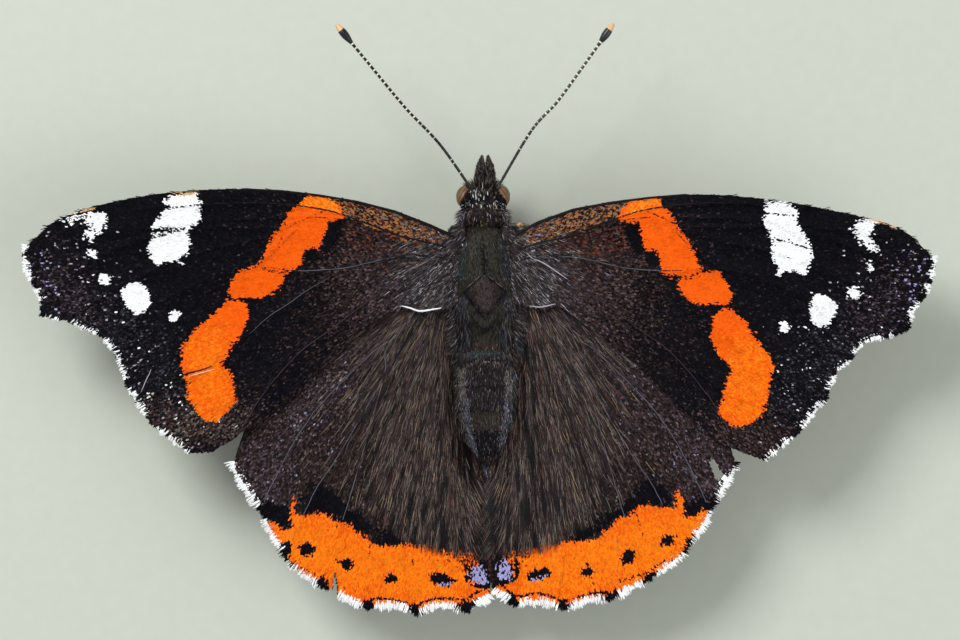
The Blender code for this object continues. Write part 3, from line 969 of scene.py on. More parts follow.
LEFT_HINDWING = WingPlan(
    front=pairs("1.6,-1.6 2.8,-2 6.05,-2.1 9.65,-0.7 13.2,1.9 15.95,5.25 17.25,8.1 17.9,10.05"),
    vein_ends=pairs("17.9,10.05 16.2,13.75 14.4,17.05 11.55,19.25 8.5,20.8 5,21.2 1.15,21.05 -0.3,19.55"),
    swells=(0.25, 0.1, 0.25, 0.0, -0.4, -0.5, 0.05),
    rear=pairs("-0.3,19.55 -0.34,18.4 -0.4,16.5 -0.45,14.2 -0.35,12.2 0.5,9.9 1.2,7.4 1.5,4.9 "
                "1.5,2.75 1.6,0.9"),
    root_height=6.3,
    rear_droop=0.5,
    fold_edge=FOLD_EDGE,
    fold_depth=FOLD_DEPTH,
)
RIGHT_HINDWING = WingPlan(
    front=pairs("1.6,-1.6 2.8,-2 6.05,-1.8 9.65,-0.25 12.85,2.2 15.7,5.6 17.35,8.45 17.8,10.05"),
    vein_ends=pairs("17.8,10.05 16.5,13.3 14.7,16.3 11.95,18.55 9.05,20.1 5.65,20.95 2.05,20.7 0.7,19.15"),
    swells=(0.15, 0.1, 0.2, 0.0, -0.3, -0.5, 0.05),
    rear=pairs("0.7,19.15 0.36,18.2 0.2,16.5 0.1,14.2 0,12.15 0.6,9.9 1.2,7.4 1.5,4.9 1.5,2.75 "
                "1.6,0.9"),
    root_height=6.3,
    rear_droop=0.5,
    fold_edge=FOLD_EDGE,
    fold_depth=FOLD_DEPTH,
)

# Marks of the forewings, the lowest first. A row is read by marks_of.
FOREWING_MARKS = """
brown base: wash UMBER 9.5 | 440,290 | 530,295;
brown cell: wash BROWN 4.2 0.75 | 450,280 390,265 | 520,285 580,275;
plum base: wash PLUM 3.4 0.45 | 430,285 390,300 | 540,285 580,310;
russet cell: wash RUSSET 1.2 0.22 | 420,250 350,235 | 1.4 0.3 548,250 618,235;
blue-grey base: wash SLATE 1.3 0.5 | 436,258 430,300 | 534,258 540,300;
pale base specks: wash SILVER 1.3 0.07 | 440,250 428,296 | 530,250 542,296;
sooty outer field: wash SOOT 5 0.55 | 60,290 200,440 | 900,300 770,450;
brown rear corner: wash BROWN 1.9 0.7 | 165,425 235,420 | 1.8 0.6 770,440 720,430;
tan rear corner: wash STONE 1.2 0.16 | 185,422 235,425 |;
slate sheen: wash SLATE 2.5 0.2 | 120,330 170,380 | 840,340 790,390;
worn scales: wash SILVER 3.4 0.014 | 60,250 110,340 170,410 | 900,260 850,350 790,420;
lost white scales: wash WHITE 2.6 0.006 | 90,290 120,350 180,400 | 890,290 850,340 790,400;
lilac margin: wash LILAC 0.8 0.07 | 48,262 52,290 | 0.9 0.08 912,268 905,298;
bronze margin: wash PLUM 1.7 0.4 | 58,280 80,312 | 895,290 870,320;
costal strip: patch RUSSET chance=0.7, patch COPPER chance=0.42, patch STONE chance=0.18, patch SOOT
  chance=0.14 | 322,197 345,202 380,209 420,223 446,236 442,252 420,248 400,240 380,230 360,222 345,217 |
  630,201 600,205 560,214 523,231 528,248 540,245 560,238 580,230 600,222 620,216 640,208;
orange band, costal piece: patch ORANGE | 309,196 300,205 290,213 285,222 277,232 270,243 265,250 262,262
  258,266 270,271 295,270 302,264 306,250 318,248 322,240 327,232 330,222 337,221 345,217 338,203 322,197 |
  630,201 657,198 662,206 668,213 674,219 677,227 682,235 688,243 692,252 698,262 702,271 690,276 670,277
  661,273 660,266 658,258 655,249 646,252 643,250 640,235 638,224 620,221 618,216;
amber costal edge: patch AMBER chance=0.7 | 309,196 300,205 312,209 330,212 342,214 335,201 | 630,201
  657,198 662,208 645,212 625,216;
black bar in the cell: patch BLACK | 330,223 342,219 343,232 336,246 325,256 321,250 324,238 | 622,225
  638,223 641,236 645,252 634,258 628,240;
black blob: patch BLACK | 306,250 318,247 320,258 308,265 | 645,252 656,251 659,264 648,268;
orange band, middle piece: patch ORANGE | 258,266 270,272 287,272 284,280 278,288 270,294 258,298 243,298
  232,297 229,292 233,280 240,271 250,267 | 675,280 690,278 702,273 712,271 720,274 727,284 730,293 731,302
  720,303 705,305 695,304 686,298 679,290;
orange band, rear piece: patch ORANGE | 228,300 240,300 247,305 250,318 243,333 235,345 228,355 222,363
  231,370 235,385 236,400 228,412 218,421 208,420 198,412 190,400 187,385 184,370 183,355 182,348 187,340
  195,330 205,322 215,313 | 724,308 733,311 742,320 752,335 760,345 767,352 772,362 770,378 768,392 765,405
  760,415 750,422 740,428 730,425 722,417 716,408 722,400 724,388 726,378 732,372 730,367 724,360 716,352
  712,342 711,330 712,320 718,311;
paler rear end: wash TANGERINE over=ORANGE 1.7 0.6 | 205,350 212,405 | 752,360 745,410;
white bar, costal piece: patch WHITE | 197,194 203,206 200,222 190,228 154,229 158,220 164,211 170,207
  165,203 170,197 176,195 | 766,203 780,202 790,206 798,213 796,221 803,232 807,243 773,240 765,229 762,219
  763,210;
white bar, rear piece: patch WHITE | 190,228 189,232 191,242 188,253 180,259 184,264 176,262 166,264 158,265
  152,258 149,250 151,242 155,234 | 807,243 811,250 813,258 808,266 804,274 797,272 785,271 776,275 778,268
  773,260 771,250 773,239;
buff costal edge of the bar: patch BUFF chance=0.5 ragged=0.05 | 172,194 199,192 198,195 175,197 |;
apical white bar: patch WHITE ragged=0.2 | 90,214 103,212 107,219 104,228 95,237 87,240 85,234 92,226 84,221
  | 858,221 866,220 875,224 872,232 868,236 871,243 876,251 868,249 860,243 853,232;
apical white specks: wash WHITE 0.45 0.4 | 70,219 88,217 |;
buff apical edge: line BUFF 0.2 0.7 | 70,214 84,211 95,209 | 872,221 882,223 894,228;
first white dot: patch WHITE | 90,250 97,252 96,259 89,257 | 866,263 871,263 871,273 866,273;
second white dot: patch WHITE | 101,275 107,273 111,279 109,286 102,284 | 846,288 853,286 859,290 858,298
  851,301 846,296;
large white dot: patch WHITE ragged=0.08 | 121,291 128,285 137,282 146,286 150,293 151,303 146,311 137,315
  130,308 124,300 | 810,300 817,294 826,296 835,303 837,308 831,318 826,326 817,327 810,320 809,310;
small white dot: patch WHITE ragged=0.06 | 169,319 171,311 178,310 181,315 178,321 172,322 | 778,323 784,321
  789,326 786,333 780,332;
vein through the bar: line SOOT 0.09 0.8 | 166,209 206,204 | 761,213 801,217;
lower vein through the bar: line SOOT 0.1 0.75 | 151,239 183,230 | 0.09 0.7 772,238 812,250;
broken scales below the vein: line SILVER 0.1 0.3 | 156,351 144,359 132,368 |;
broken cream line: line IVORY 0.06 0.4 | 190,376 165,386 145,400 |;
pale sclerite: wash SILVER 0.35 0.5 | 429,292 |;
"""

# Marks of the hindwings. The purple-grey wash along the costa is painted sheen.
# The sooty line at the inner corner is painted shadow.
HINDWING_MARKS = """
brown field: wash BROWN 14 0.75 | 420,400 | 550,400;
purple-grey costal strip: wash PLUM 2.8 0.6 | 390,330 330,390 280,450 252,490 | 590,335 640,385 690,445
  712,490;
umber field: wash UMBER 5 0.6 | 330,440 400,500 | 640,440 570,500;
steely sheen: wash STEEL 2.6 0.07 | 380,340 320,400 270,470 | 2.6 0.06 600,345 650,400 700,470;
fawn hairs: wash STONE 6 0.03 | 400,400 460,500 | 570,400 510,500;
black edge of the band: line BLACK 0.6 0.45 | 262,500 285,510 320,495 345,508 365,525 395,538 | 712,500
  692,507 650,494 622,508 605,523 587,534;
outer black patch: patch BLACK ragged=0.3 | 254,512 262,500 272,503 284,505 289,512 290,530 272,530 |
  716,512 712,496 700,492 690,500 685,508 688,520 704,516;
second black patch: patch BLACK ragged=0.35 | 299,516 304,500 313,484 324,480 334,492 345,503 349,520
  335,524 315,516 | 672,508 668,490 655,478 642,480 634,494 622,505 616,520 632,516 652,506;
third black patch: patch BLACK ragged=0.3 | 343,522 346,509 358,511 368,523 368,533 356,533 | 618,518
  614,506 604,510 598,522 598,532 608,532;
fourth black patch: patch BLACK ragged=0.3 | 377,535 388,531 398,533 402,547 378,549 | 593,532 582,528
  574,532 572,546 592,545;
orange band: patch ORANGE | 256,522 272,522 285,530 291,527 291,505 294,496 297,515 315,514 325,513 330,518
  337,521 345,525 352,527 357,532 365,538 375,545 390,548 400,546 410,545 435,546 445,552 460,551 474,553
  484,566 490,596 478,606 440,606 420,612 380,611 345,600 316,584 290,570 274,548 | 716,512 703,510 697,514
  690,518 684,517 683,500 677,490 676,506 670,506 660,508 650,505 640,507 633,513 625,517 618,519 612,527
  604,533 603,538 590,541 560,543 545,544 525,549 512,552 497,562 494,592 505,604 540,604 560,608 580,608
  612,596 650,578 684,553 708,520;
tangerine band: wash TANGERINE over=ORANGE 2.6 0.85 | 290,540 340,560 440,578 | 690,530 635,555 540,575;
russet inner corner: wash RUSSET 1 0.6 | 462,550 478,560 | 520,548 503,556;
first black spot: patch BLACK | 297,545 308,543 316,549 313,555 302,556 | 659,538 668,533 677,536 673,544
  662,546;
second black spot: patch BLACK | 339,562 348,559 354,566 346,573 | 621,557 628,550 635,553 631,563 623,565;
third black spot: patch BLACK | 384,577 393,574 400,578 395,584 386,584 | 580,572 588,567 594,572 587,579;
fourth black spot: patch BLACK | 428,577 436,573 446,575 456,581 450,588 434,585 | 527,575 537,570 548,568
  553,575 542,581 530,581;
lilac dust on the spot: line LILAC 0.3 0.35 | 438,584 450,586 | 532,580 546,577;
black under the lilac: patch BLACK ragged=0.2 | 468,566 482,560 490,566 490,586 480,587 469,582 | 491,560
  503,556 515,566 513,581 500,584 491,578;
inner lilac patch: patch LILAC chance=0.75 | 470,568 480,565 489,568 489,583 480,586 471,580 | 495,564
  505,562 513,568 511,579 500,581 495,574;
black round the lilac: line BLACK 0.25 0.8 | 466,566 468,582 480,588 488,586 | 517,562 516,578 504,584
  496,582;
first margin blob: patch BLACK | 276,545 290,541 291,552 283,563 | 686,540 693,535 698,546 688,557;
second margin blob: patch BLACK | 314,582 324,575 330,590 322,596 | 647,574 655,570 659,578 649,585;
third margin blob: patch BLACK | 360,605 367,598 374,604 369,614 | 607,595 616,589 620,598 610,605;
fourth margin blob: patch BLACK | 408,609 414,603 421,609 415,618 | 556,607 563,600 571,607 563,615;
fifth margin blob: patch BLACK | 455,610 466,602 482,600 474,616 | 502,594 514,597 522,607 508,612;
line before the margin: line BLACK 0.15 | 371,599 385,600 405,603 415,607 427,601 439,599 455,600 467,600
  475,594 491,588 | 492,584 502,586 510,593 520,597 538,594 556,599 564,602 574,599 592,594 608,593;
dotted line before the margin: line SOOT 0.1 0.6 | 295,564 313,574 343,588 363,592 | 620,582 648,572
  666,560;
vein over the band: line RUSSET 0.05 0.8 | 337,526 331,538 / 0.05 0.7 370,532 369,558 | 636,512 644,540;
vein over the band: line SOOT 0.05 0.8 | 412,550 413,566 | 0.05 0.7 587,564 592,580 598,598;
bare vein over the band: line FAWN 0.04 0.6 | | 618,534 618,584;
dark inner corner: line SOOT 0.4 0.7 | 484,556 490,590 | 498,556 494,588;
"""

# Marks of the fringes: white lunules between the veins, and dark teeth at them.
FOREWING_FRINGE = """
white lunules: line WHITE 1.2 | 27,247 28,265 31,283 / 1 36,288 40,303 / 0.6 0.2 50,318 63,325 75,327 / 0.7
  0.6 78,327 100,331 / 1 98,336 104,347 / 109,348 118,356 124,370 126,386 / 130,393 138,405 145,417 /
  160,430 176,439 190,449 / 1 0.6 203,451 218,448 | 933,259 934,270 932,281 / 1 928,282 925,297 / 1 919,305
  913,319 / 1 0.7 902,335 893,338 / 878,341 866,346 855,354 / 847,361 836,370 830,388 / 823,404 814,416
  806,427 / 793,439 778,447 762,457;
dark teeth: wash BLACK 0.3 2 | 33,286 / 0.4 2 44,310 / 101,337 103,333 / 0.34 2 126,386 / 0.55 2 150,424 /
  0.4 2 195,451 | 0.24 2 931,282 / 0.4 2 922,299 / 0.45 2 908,328 900,334 / 0.36 2 886,341 / 850,358 / 0.5 2
  828,396 / 0.45 2 799,434;
small dark notches: wash SOOT 0.16 1.6 | 113,352 / 0.13 1.6 122,364 / 136,402 / 168,435 / 182,444 | 872,344
  / 836,372 / 814,416 / 780,446;
"""

HINDWING_FRINGE = """
white fringe: line WHITE 2.4 | 231,464 240,485 256,515 278,550 314,585 345,602 385,615 440,612 475,612
  492,598 | 719,478 718,500 700,537 686,558 650,585 612,602 570,615 540,607 508,606 494,590;
dark teeth: wash BLACK 0.52 2 | 257,515 / 0.63 2 283,559 / 0.63 2 321,591 / 0.6 2 366,612 / 0.54 2 414,617 /
  0.68 2 469,616 | 0.45 2 717,507 / 0.63 2 692,551 / 0.6 2 652,582 / 0.57 2 613,603 / 0.6 2 564,615 / 0.54 2
  510,609;
"""

FOREWING_VEINS = (
    Vein(pairs("452,250 430,243 400,236 360,221 320,209 255,203 166,207"), 0.24),
    Vein(pairs("452,262 430,256 390,258 345,268 295,271 262,267 225,273"), 0.26, Pigment.STEEL),
    Vein(pairs("360,221 300,217 200,222 90,236"), 0.14),
    Vein(pairs("322,212 280,226 183,229 100,258 45,292"), 0.14),
    Vein(pairs("300,222 262,238 200,252 120,285 66,318"), 0.14),
    Vein(pairs("297,230 258,266 225,273 160,303 106,344"), 0.14),
    Vein(pairs("330,277 305,292 270,316 240,342 200,373 160,391 138,403"), 0.15),
    Vein(pairs("390,258 340,310 300,345 240,395 152,425"), 0.16, Pigment.SOOT),
    Vein(pairs("440,255 405,277 370,300 330,330 300,352 265,392 240,432"), 0.2, Pigment.PLUM),
)
HINDWING_VEINS = (
    Vein(pairs("440,300 420,315 395,337 375,350 350,374 320,405 295,440 275,478 258,514"),
        0.2, Pigment.STEEL),
    Vein(pairs("395,337 385,352 384,374 362,415 335,460 312,496 283,560"), 0.17, Pigment.STEEL),
    Vein(pairs("384,374 372,420 350,498 321,588"), 0.14, Pigment.STEEL),
    Vein(pairs("400,385 392,440 378,500 366,610"), 0.14, Pigment.SOOT),
    Vein(pairs("432,330 416,390 408,440 404,520 414,614"), 0.17),
    Vein(pairs("440,330 440,420 446,520 460,612"), 0.16),
)

LEFT_HINDWING_TEARS = (pairs("333,569 336,567 341,603 331,601"),)
RIGHT_HINDWING_TEARS = (pairs("705,457 713,456 718,466 727,476 716,482 710,470"),)

# Thin lines over the scales, most along veins and two along the forewing's rear edge near its root: the
# pale ones are painted highlight on these ridges and edges, and the black one runs beside the ivory one
# along the same vein.
BARE_LINES = {
    Side.LEFT: (
        (pairs("330,277 305,292 290,303 270,316 250,334"), Pigment.STEEL, 0.022),
        (pairs("215,369 201,373 190,376"), Pigment.IVORY, 0.03),
        (pairs("213,366 201,370 185,374.5 160,386"), Pigment.BLACK, 0.05),
        (pairs("152,369 150,374 147,380 142,392"), Pigment.SILVER, 0.035),
        (pairs("402,306 410,308 420,311 435,309 441,308"), Pigment.WHITE, 0.07),
        (pairs("405,272 422,264 432,258 439,253"), Pigment.STONE, 0.05),
    ),
    Side.RIGHT: (
        (pairs("526,252 532,258 545,264 567,279"), Pigment.SILVER, 0.05),
        (pairs("530,306 541,307 555,304"), Pigment.SILVER, 0.055),
    ),
}


def tube_mesh(name: str, path: Array, radii: Array, up: Sequence[float], sides: int = 10) -> Mesh:
    """A tube along a path, with round ends.

    Args:
        name: The mesh's name.
        path: Centre points in model millimetres.
        radii: The radius at each of them.
        up: A direction that the path never runs along.
        sides: Corners round the tube.

    Returns:
        The mesh.
    """
    along = unit(np.gradient(path, axis=0))
    across = unit(np.cross(along, np.array(up, float)))
    over = np.cross(across, along)
    swing = np.linspace(0.0, math.pi / 2, 5)[1:]
    start = path[0] - np.sin(swing)[::-1, None] * radii[0] * along[0]
    end = path[-1] + np.sin(swing)[:, None] * radii[-1] * along[-1]
    path = np.concatenate((start, path, end))
    caps = np.maximum(np.cos(swing), 1e-3)
    radii = np.concatenate((caps[::-1] * radii[0], radii, caps * radii[-1]))
    pad = ((len(swing), len(swing)), (0, 0))
    across, over = np.pad(across, pad, "edge"), np.pad(over, pad, "edge")
    turn = np.arange(sides) * 2 * math.pi / sides
    ring = (across[:, None] * np.cos(turn)[None, :, None] + over[:, None] * np.sin(turn)[None, :, None])
    places = path[:, None] + ring * radii[:, None, None]
    return make_mesh(name, places.reshape(-1, 3) * MM, grid_faces(len(path), sides)[:, FLIPPED])


def set_pigment(mesh: Mesh, pigments: Array, rng: Random) -> None:
    """Give every face its pigment, and each point an even grain."""
    add_attribute(mesh, "pigment", pigments, "FACE")
    add_attribute(mesh, "grain", rng.uniform(0.35, 0.65, len(mesh.vertices)))


def thread(path: Array, radii: Array, kind: Pigment, rng: Random) -> Mesh:
    """A thin six-sided tube of one pigment."""
    tube = tube_mesh("thread", path, radii, UP, 6)
    set_pigment(tube, np.full(len(tube.polygons), kind.mark), rng)
    return tube


def join_meshes(name: str, meshes: Sequence[Mesh]) -> Mesh:
    """Join meshes, each of one pigment, into one.

    Args:
        name: The name of the joined mesh.
        meshes: The meshes, which are removed.

    Returns:
        The joined mesh.
    """
    places, faces, pigments, grains, count = [], [], [], [], 0
    for mesh in meshes:
        co = np.empty(len(mesh.vertices) * 3, np.float32)
        mesh.vertices.foreach_get("co", co)
        corners = np.empty(len(mesh.loops), np.int32)
        mesh.loops.foreach_get("vertex_index", corners)
        pigment = np.empty(len(mesh.polygons), np.float32)
        mesh.attributes["pigment"].data.foreach_get("value", pigment)
        grain = np.empty(len(mesh.vertices), np.float32)
        mesh.attributes["grain"].data.foreach_get("value", grain)
        places.append(co.reshape(-1, 3))
        faces.append(corners.reshape(-1, 4) + count)
        pigments.append(pigment)
        grains.append(grain)
        count += len(co) // 3
        bpy.data.meshes.remove(mesh)
    joined = make_mesh(name, np.concatenate(places), np.concatenate(faces))
    add_attribute(joined, "pigment", np.concatenate(pigments), "FACE")
    add_attribute(joined, "grain", np.concatenate(grains))
    return joined


@dataclass
class Wing:
    """One wing: its membrane and veins, the scales on both faces, its fringe and its hair."""

    node: str
    side: Side
    plan: WingPlan
    marks: tuple[Mark, ...]
    fringe_marks: tuple[Mark, ...]
    veins: tuple[Vein, ...]
    base: tuple[float, float]
    hair_centre: tuple[float, float]
    hair_spread: tuple[float, float]
    hair_count: int
    hair_source: tuple[float, float]
    hair_length: tuple[float, float]
    drop: float
    seed: int
    ground: Pigment = Pigment.BLACK
    thickness: float = 0.06
    scale_step: tuple[float, float] = (0.094, 0.1)
    under_step: tuple[float, float] = (0.15, 0.16)
    scale_size: tuple[float, float] = (0.26, 0.125)
    shown_share: float = 0.65
    fringe_step: float = 0.02
    fringe: float = 0.38
    vein_reach: float = 1.3
    crest_height: float = 0.08
    crest_radius: float = 0.035
    tears: tuple[Pixels, ...] = ()
    lines: tuple[tuple[Pixels, Pigment, float], ...] = ()
    hair_limit: tuple[tuple[float, float], ...] = ((0.0, 99.0),)
    comb: float = 0.1
    comb_share: float = 0.045
    groove: float = 0.33
    hair_mix: str = "UMBER 0.28 BROWN 0.38 PLUM 0.13 STONE 0.14 RUSSET 0.03 FAWN 0.04"

    def __post_init__(self) -> None:
        """Lay the veins out to this wing's own margin and shape its surface."""
        self.rng = np.random.default_rng(self.seed)
        margin = self.plan.margin(12)[0]
        self.paths = []
        for vein in self.veins:
            path = picked(Side.LEFT, vein.points)
            nearest = margin[np.argmin(np.linalg.norm(margin - path[-1], axis=1))]
            gap = nearest - path[-1]
            if np.linalg.norm(gap) < self.vein_reach:
                path = path + np.linspace(0.0, 1.0, len(path))[:, None] ** 2 * gap
            self.paths.append(smooth_path(path, 40))
        tears = [picked(self.side, tear) for tear in self.tears]
        self.surface = WingSurface(self.side, self.plan, self.paths, tears, self.drop, self.fringe)

    def lie(self, places: Array, slope: Array, source: tuple[float, float]) -> Array:
        """Directions on the model that point from a source towards the wing's margin."""
        flat = unit(places - np.array(source))
        front = self.surface.front
        gap = np.linalg.norm(places[:, None] - front[None, ::4], axis=2)
        along = unit(np.gradient(front, axis=0))[::4][gap.argmin(axis=1)]
        near = np.clip(1.3 - gap.min(axis=1) / 0.5, 0.0, 1.0)[:, None]
        flat = unit(flat * (1 - near) + along * near)
        climb = np.sum(flat * slope, axis=1)
        return unit(np.column_stack((self.side.value * flat[:, 0], flat[:, 1], climb)))

    def paint(self, places: Array) -> Array:
        """The pigment of the upper face at each place."""
        marks = np.full(len(places), self.ground.mark)
        for mark in self.marks:
            found = mark.covers(self.side, places, self.rng)
            found &= marks == mark.over.mark if mark.over else True
            marks[found] = mark.pigment.mark
        return marks

    def paint_under(self, places: Array) -> Array:
        """The pigment of the lower face: the same markings, duller, on marbled brown."""
        upper = self.paint(places)
        warp = cloud(places, 2.2, self.seed) + 0.5 * cloud(places, 0.7, self.seed + 1)
        warp += 0.25 * self.rng.random(len(places))
        steps = (Pigment.SOOT, Pigment.UMBER, Pigment.BROWN, Pigment.STONE, Pigment.PLUM)
        pick = np.clip(((warp - 0.45) / 0.8 * len(steps)).astype(int), 0, len(steps) - 1)
        marks = np.array([kind.mark for kind in steps])[pick]
        for above, below in ((Pigment.ORANGE, Pigment.ROSE), (Pigment.AMBER, Pigment.ROSE),
                             (Pigment.WHITE, Pigment.IVORY), (Pigment.LILAC, Pigment.BLUE)):
            if "fore" in self.node or below is Pigment.BLUE:
                marks[upper == above.mark] = below.mark
        return marks

    def membrane_piece(self) -> None:
        """The membrane, a thin closed film with the same markings as its scales."""
        mesh = self.surface.membrane(self.node + "_membrane")
        set_pigment(mesh, self.paint(self.surface.face_middles), self.rng)
        piece = add_piece(mesh, WING_MEMBRANE, [self.node])
        film = piece.modifiers.new("film", "SOLIDIFY")
        film.thickness = self.thickness * MM
        film.offset = 0.0

    def vein_piece(self) -> None:
        """The veins: tapering tubes that stand out of both faces of the membrane."""
        tubes = []
        edge = smooth_path(np.array(self.plan.front), 60)
        for path, thickness in [*((p, v.thickness) for p, v in zip(self.paths, self.veins)),
                                (edge, 0.34)]:
            path = path[inside(path, self.surface.outline) | (np.arange(len(path)) < 2)]
            places = self.surface.world_frame(path, 0.0)[0]
            radii = np.linspace(thickness, 0.4 * thickness, len(path)) / 2
            tubes.append(thread(places, radii, Pigment.SOOT, self.rng))
        # Lines along the tops of the veins, the steel-grey ones painted highlight.
        for path, vein in zip(self.paths, self.veins):
            path = path[inside(path, self.surface.outline)]
            dark = ~np.isin(self.paint(path), (Pigment.ORANGE.mark, Pigment.TANGERINE.mark))
            path = path[np.cumprod(dark).astype(bool)]
            if vein.crest and len(path) > 3:
                places = self.surface.world_frame(path, self.crest_height)[0]
                places += self.rng.normal(0.0, 0.012, places.shape)
                radii = self.crest_radius * self.rng.uniform(0.6, 1.0, len(path))
                tubes.append(thread(places, radii, vein.crest, self.rng))
        # The pale lines here are painted highlight along veins and the rear edge.
        for points, pigment, radius in self.lines:
            path = smooth_path(picked(self.side, points), 30)
            places = self.surface.world_frame(path, self.crest_height + 0.03)[0]
            radii = radius * np.sin(np.linspace(0.15, math.pi - 0.15, len(path))) ** 0.5
            tubes.append(thread(places, radii, pigment, self.rng))
        add_piece(join_meshes(self.node + "_veins", tubes), WING_MEMBRANE, [self.node])

    def scale_coat(self, over: bool) -> None:
        """The scales of one face, in overlapping rows like roof tiles.

        Args:
            over: Whether it is the upper face.
        """
        step = self.scale_step if over else self.under_step
        places = self.surface.lattice(*step, self.rng)
        sign = 1.0 if over else -1.0
        roots, up = self.surface.world_frame(places, sign * (self.thickness / 2 + 0.012))
        count = len(places)
        size = step[0] / self.scale_step[0]
        lie = self.lie(places, self.surface.read(places)[1], self.base)
        lie += self.rng.normal(0.0, 0.09, (count, 3)) * (1.0, 1.0, 0.35)
        near = np.clip(away(places, self.surface.front) / 0.4, 0.3, 1.0)
        shown = places + lie[:, :2] * (self.side.value, 1.0) * self.scale_size[0] * self.shown_share
        marks = self.paint(shown) if over else self.paint_under(shown)
        coat = Coat(
            name=self.node + ("_scales_upper" if over else "_scales_under"), blade=SCALE_BLADE,
            roots=roots, lie=lie, up=up * sign,
            length=self.scale_size[0] * size * self.rng.uniform(0.85, 1.15, count),
            width=self.scale_size[1] * size * near * self.rng.uniform(0.85, 1.15, count),
            lift=self.rng.uniform(0.04, 0.14, count), bend=self.rng.normal(0.0, 0.05, count),
            pigments=marks, grain=grain_of(marks, self.rng), unwrap=self.surface.unwrap(places),
        )
        add_piece(coat.mesh(), WING_SCALES, [self.node])

    def fringe_coat(self) -> None:
        """Long scales that stand out of the margin, white between the veins, dark at them."""
        edge = self.surface.edge
        gone = lengths(edge)
        at = np.arange(0.0, gone[-1], self.fringe_step)
        at = at + self.rng.uniform(-0.5, 0.5, len(at)) * self.fringe_step
        places = along_path(at, gone, edge)
        out = unit(along_path(at, gone, self.surface.outward))
        out = unit(out + 0.25 * unit(places - np.array(self.base)))
        keep = ~self.surface.torn(places + out * 0.1)
        places, out, at = places[keep], out[keep], at[keep]
        marks = np.full(len(places), Pigment.SOOT.mark)
        for mark in self.fringe_marks:
            marks[mark.covers(self.side, places + out * 0.28, self.rng)] = mark.pigment.mark
        count = len(places)
        clumps = 0.62 + 0.65 * cloud(np.column_stack((at, at * 0)), 0.17, 5)
        white = marks == Pigment.WHITE.mark
        length = self.surface.fringe * clumps * self.rng.uniform(0.8, 1.25, count)
        length *= np.where(white, 1.0, 0.82)
        start = places - out * 0.12
        roots, up = self.surface.world_frame(start, 0.02)
        roots = roots + up * self.rng.uniform(-0.04, 0.04, (count, 1))
        lie = np.column_stack((self.side.value * out[:, 0], out[:, 1], np.zeros(count)))
        lie = lie + self.rng.normal(0.0, 0.1, (count, 3)) * (1.0, 1.0, 0.4)
        coat = Coat(
            name=self.node + "_fringe", blade=FRINGE_BLADE, roots=roots, lie=lie, up=up,
            length=length + 0.12, width=self.rng.uniform(0.075, 0.12, count),
            lift=self.rng.normal(0.02, 0.03, count), bend=self.rng.normal(0.0, 0.1, count),
            pigments=marks, grain=grain_of(marks, self.rng),
            unwrap=self.surface.unwrap(start),
        )
        add_piece(coat.mesh(), WING_SCALES, [self.node])

    def hair_coat(self) -> None:
        """Fine hairs that stream back from the wing's base over its scales."""
        centre, spread = np.array(self.hair_centre), np.array(self.hair_spread)
        places = centre + self.rng.normal(0.0, 1.0, (self.hair_count * 4, 2)) * spread
        places = places[inside(places, self.surface.outline)]
        length = self.rng.uniform(*self.hair_length, len(places))
        limit = np.interp(places[:, 0], *zip(*self.hair_limit))
        keep = ~self.surface.torn(places) & (places[:, 1] + length < limit)
        inward = np.clip((2.6 - places[:, 0]) / 2, 0, 1) * np.clip((places[:, 1] - 8) / 3, 0, 1)
        tip = places + np.column_stack((-0.5 * inward, 1 - 0.15 * inward)) * length[:, None]
        keep &= (np.minimum(places[:, 0], tip[:, 0]) > 0.62) | (tip[:, 1] > 12.3)
        places, length = places[keep][:self.hair_count], length[keep][:self.hair_count]
        inward = inward[keep][:self.hair_count]
        count = len(places)
        roots, up = self.surface.world_frame(places, 0.07)
        lie = self.lie(places, self.surface.read(places)[1], self.hair_source)
        lie[:, 0] -= self.side.value * 0.45 * inward
        lie += self.rng.normal(0.0, 0.06, (count, 3)) * (1.0, 1.0, 0.3)
        marks = mixed(self.hair_mix, count, self.rng)
        from_base = places - np.array(self.base)
        reach = np.linalg.norm(from_base, axis=1)
        angle = np.arctan2(from_base[:, 0], from_base[:, 1])
        combed = cloud(np.column_stack((angle * 11.0, reach * self.comb_share)), self.comb, self.seed)
        marks[combed < self.groove] = Pigment.SOOT.mark
        grain = np.clip(grain_of(marks, self.rng) * 1.9 * combed, 0.0, 1.0)
        coat = Coat(
            name=self.node + "_hair", blade=FRINGE_BLADE, roots=roots, lie=lie, up=up,
            length=length, width=self.rng.uniform(0.026, 0.046, count),
            lift=self.rng.uniform(0.0, 0.06, count) + 0.03 * combed,
            bend=self.rng.normal(0.0, 0.06, count),
            pigments=marks, grain=grain, unwrap=self.surface.unwrap(places),
        )
        add_piece(coat.mesh(), HAIR, [self.node])

    def build(self) -> None:
        """Make every piece of the wing."""
        self.membrane_piece()
        self.vein_piece()
        self.scale_coat(over=True)
        self.scale_coat(over=False)
        self.fringe_coat()
        self.hair_coat()


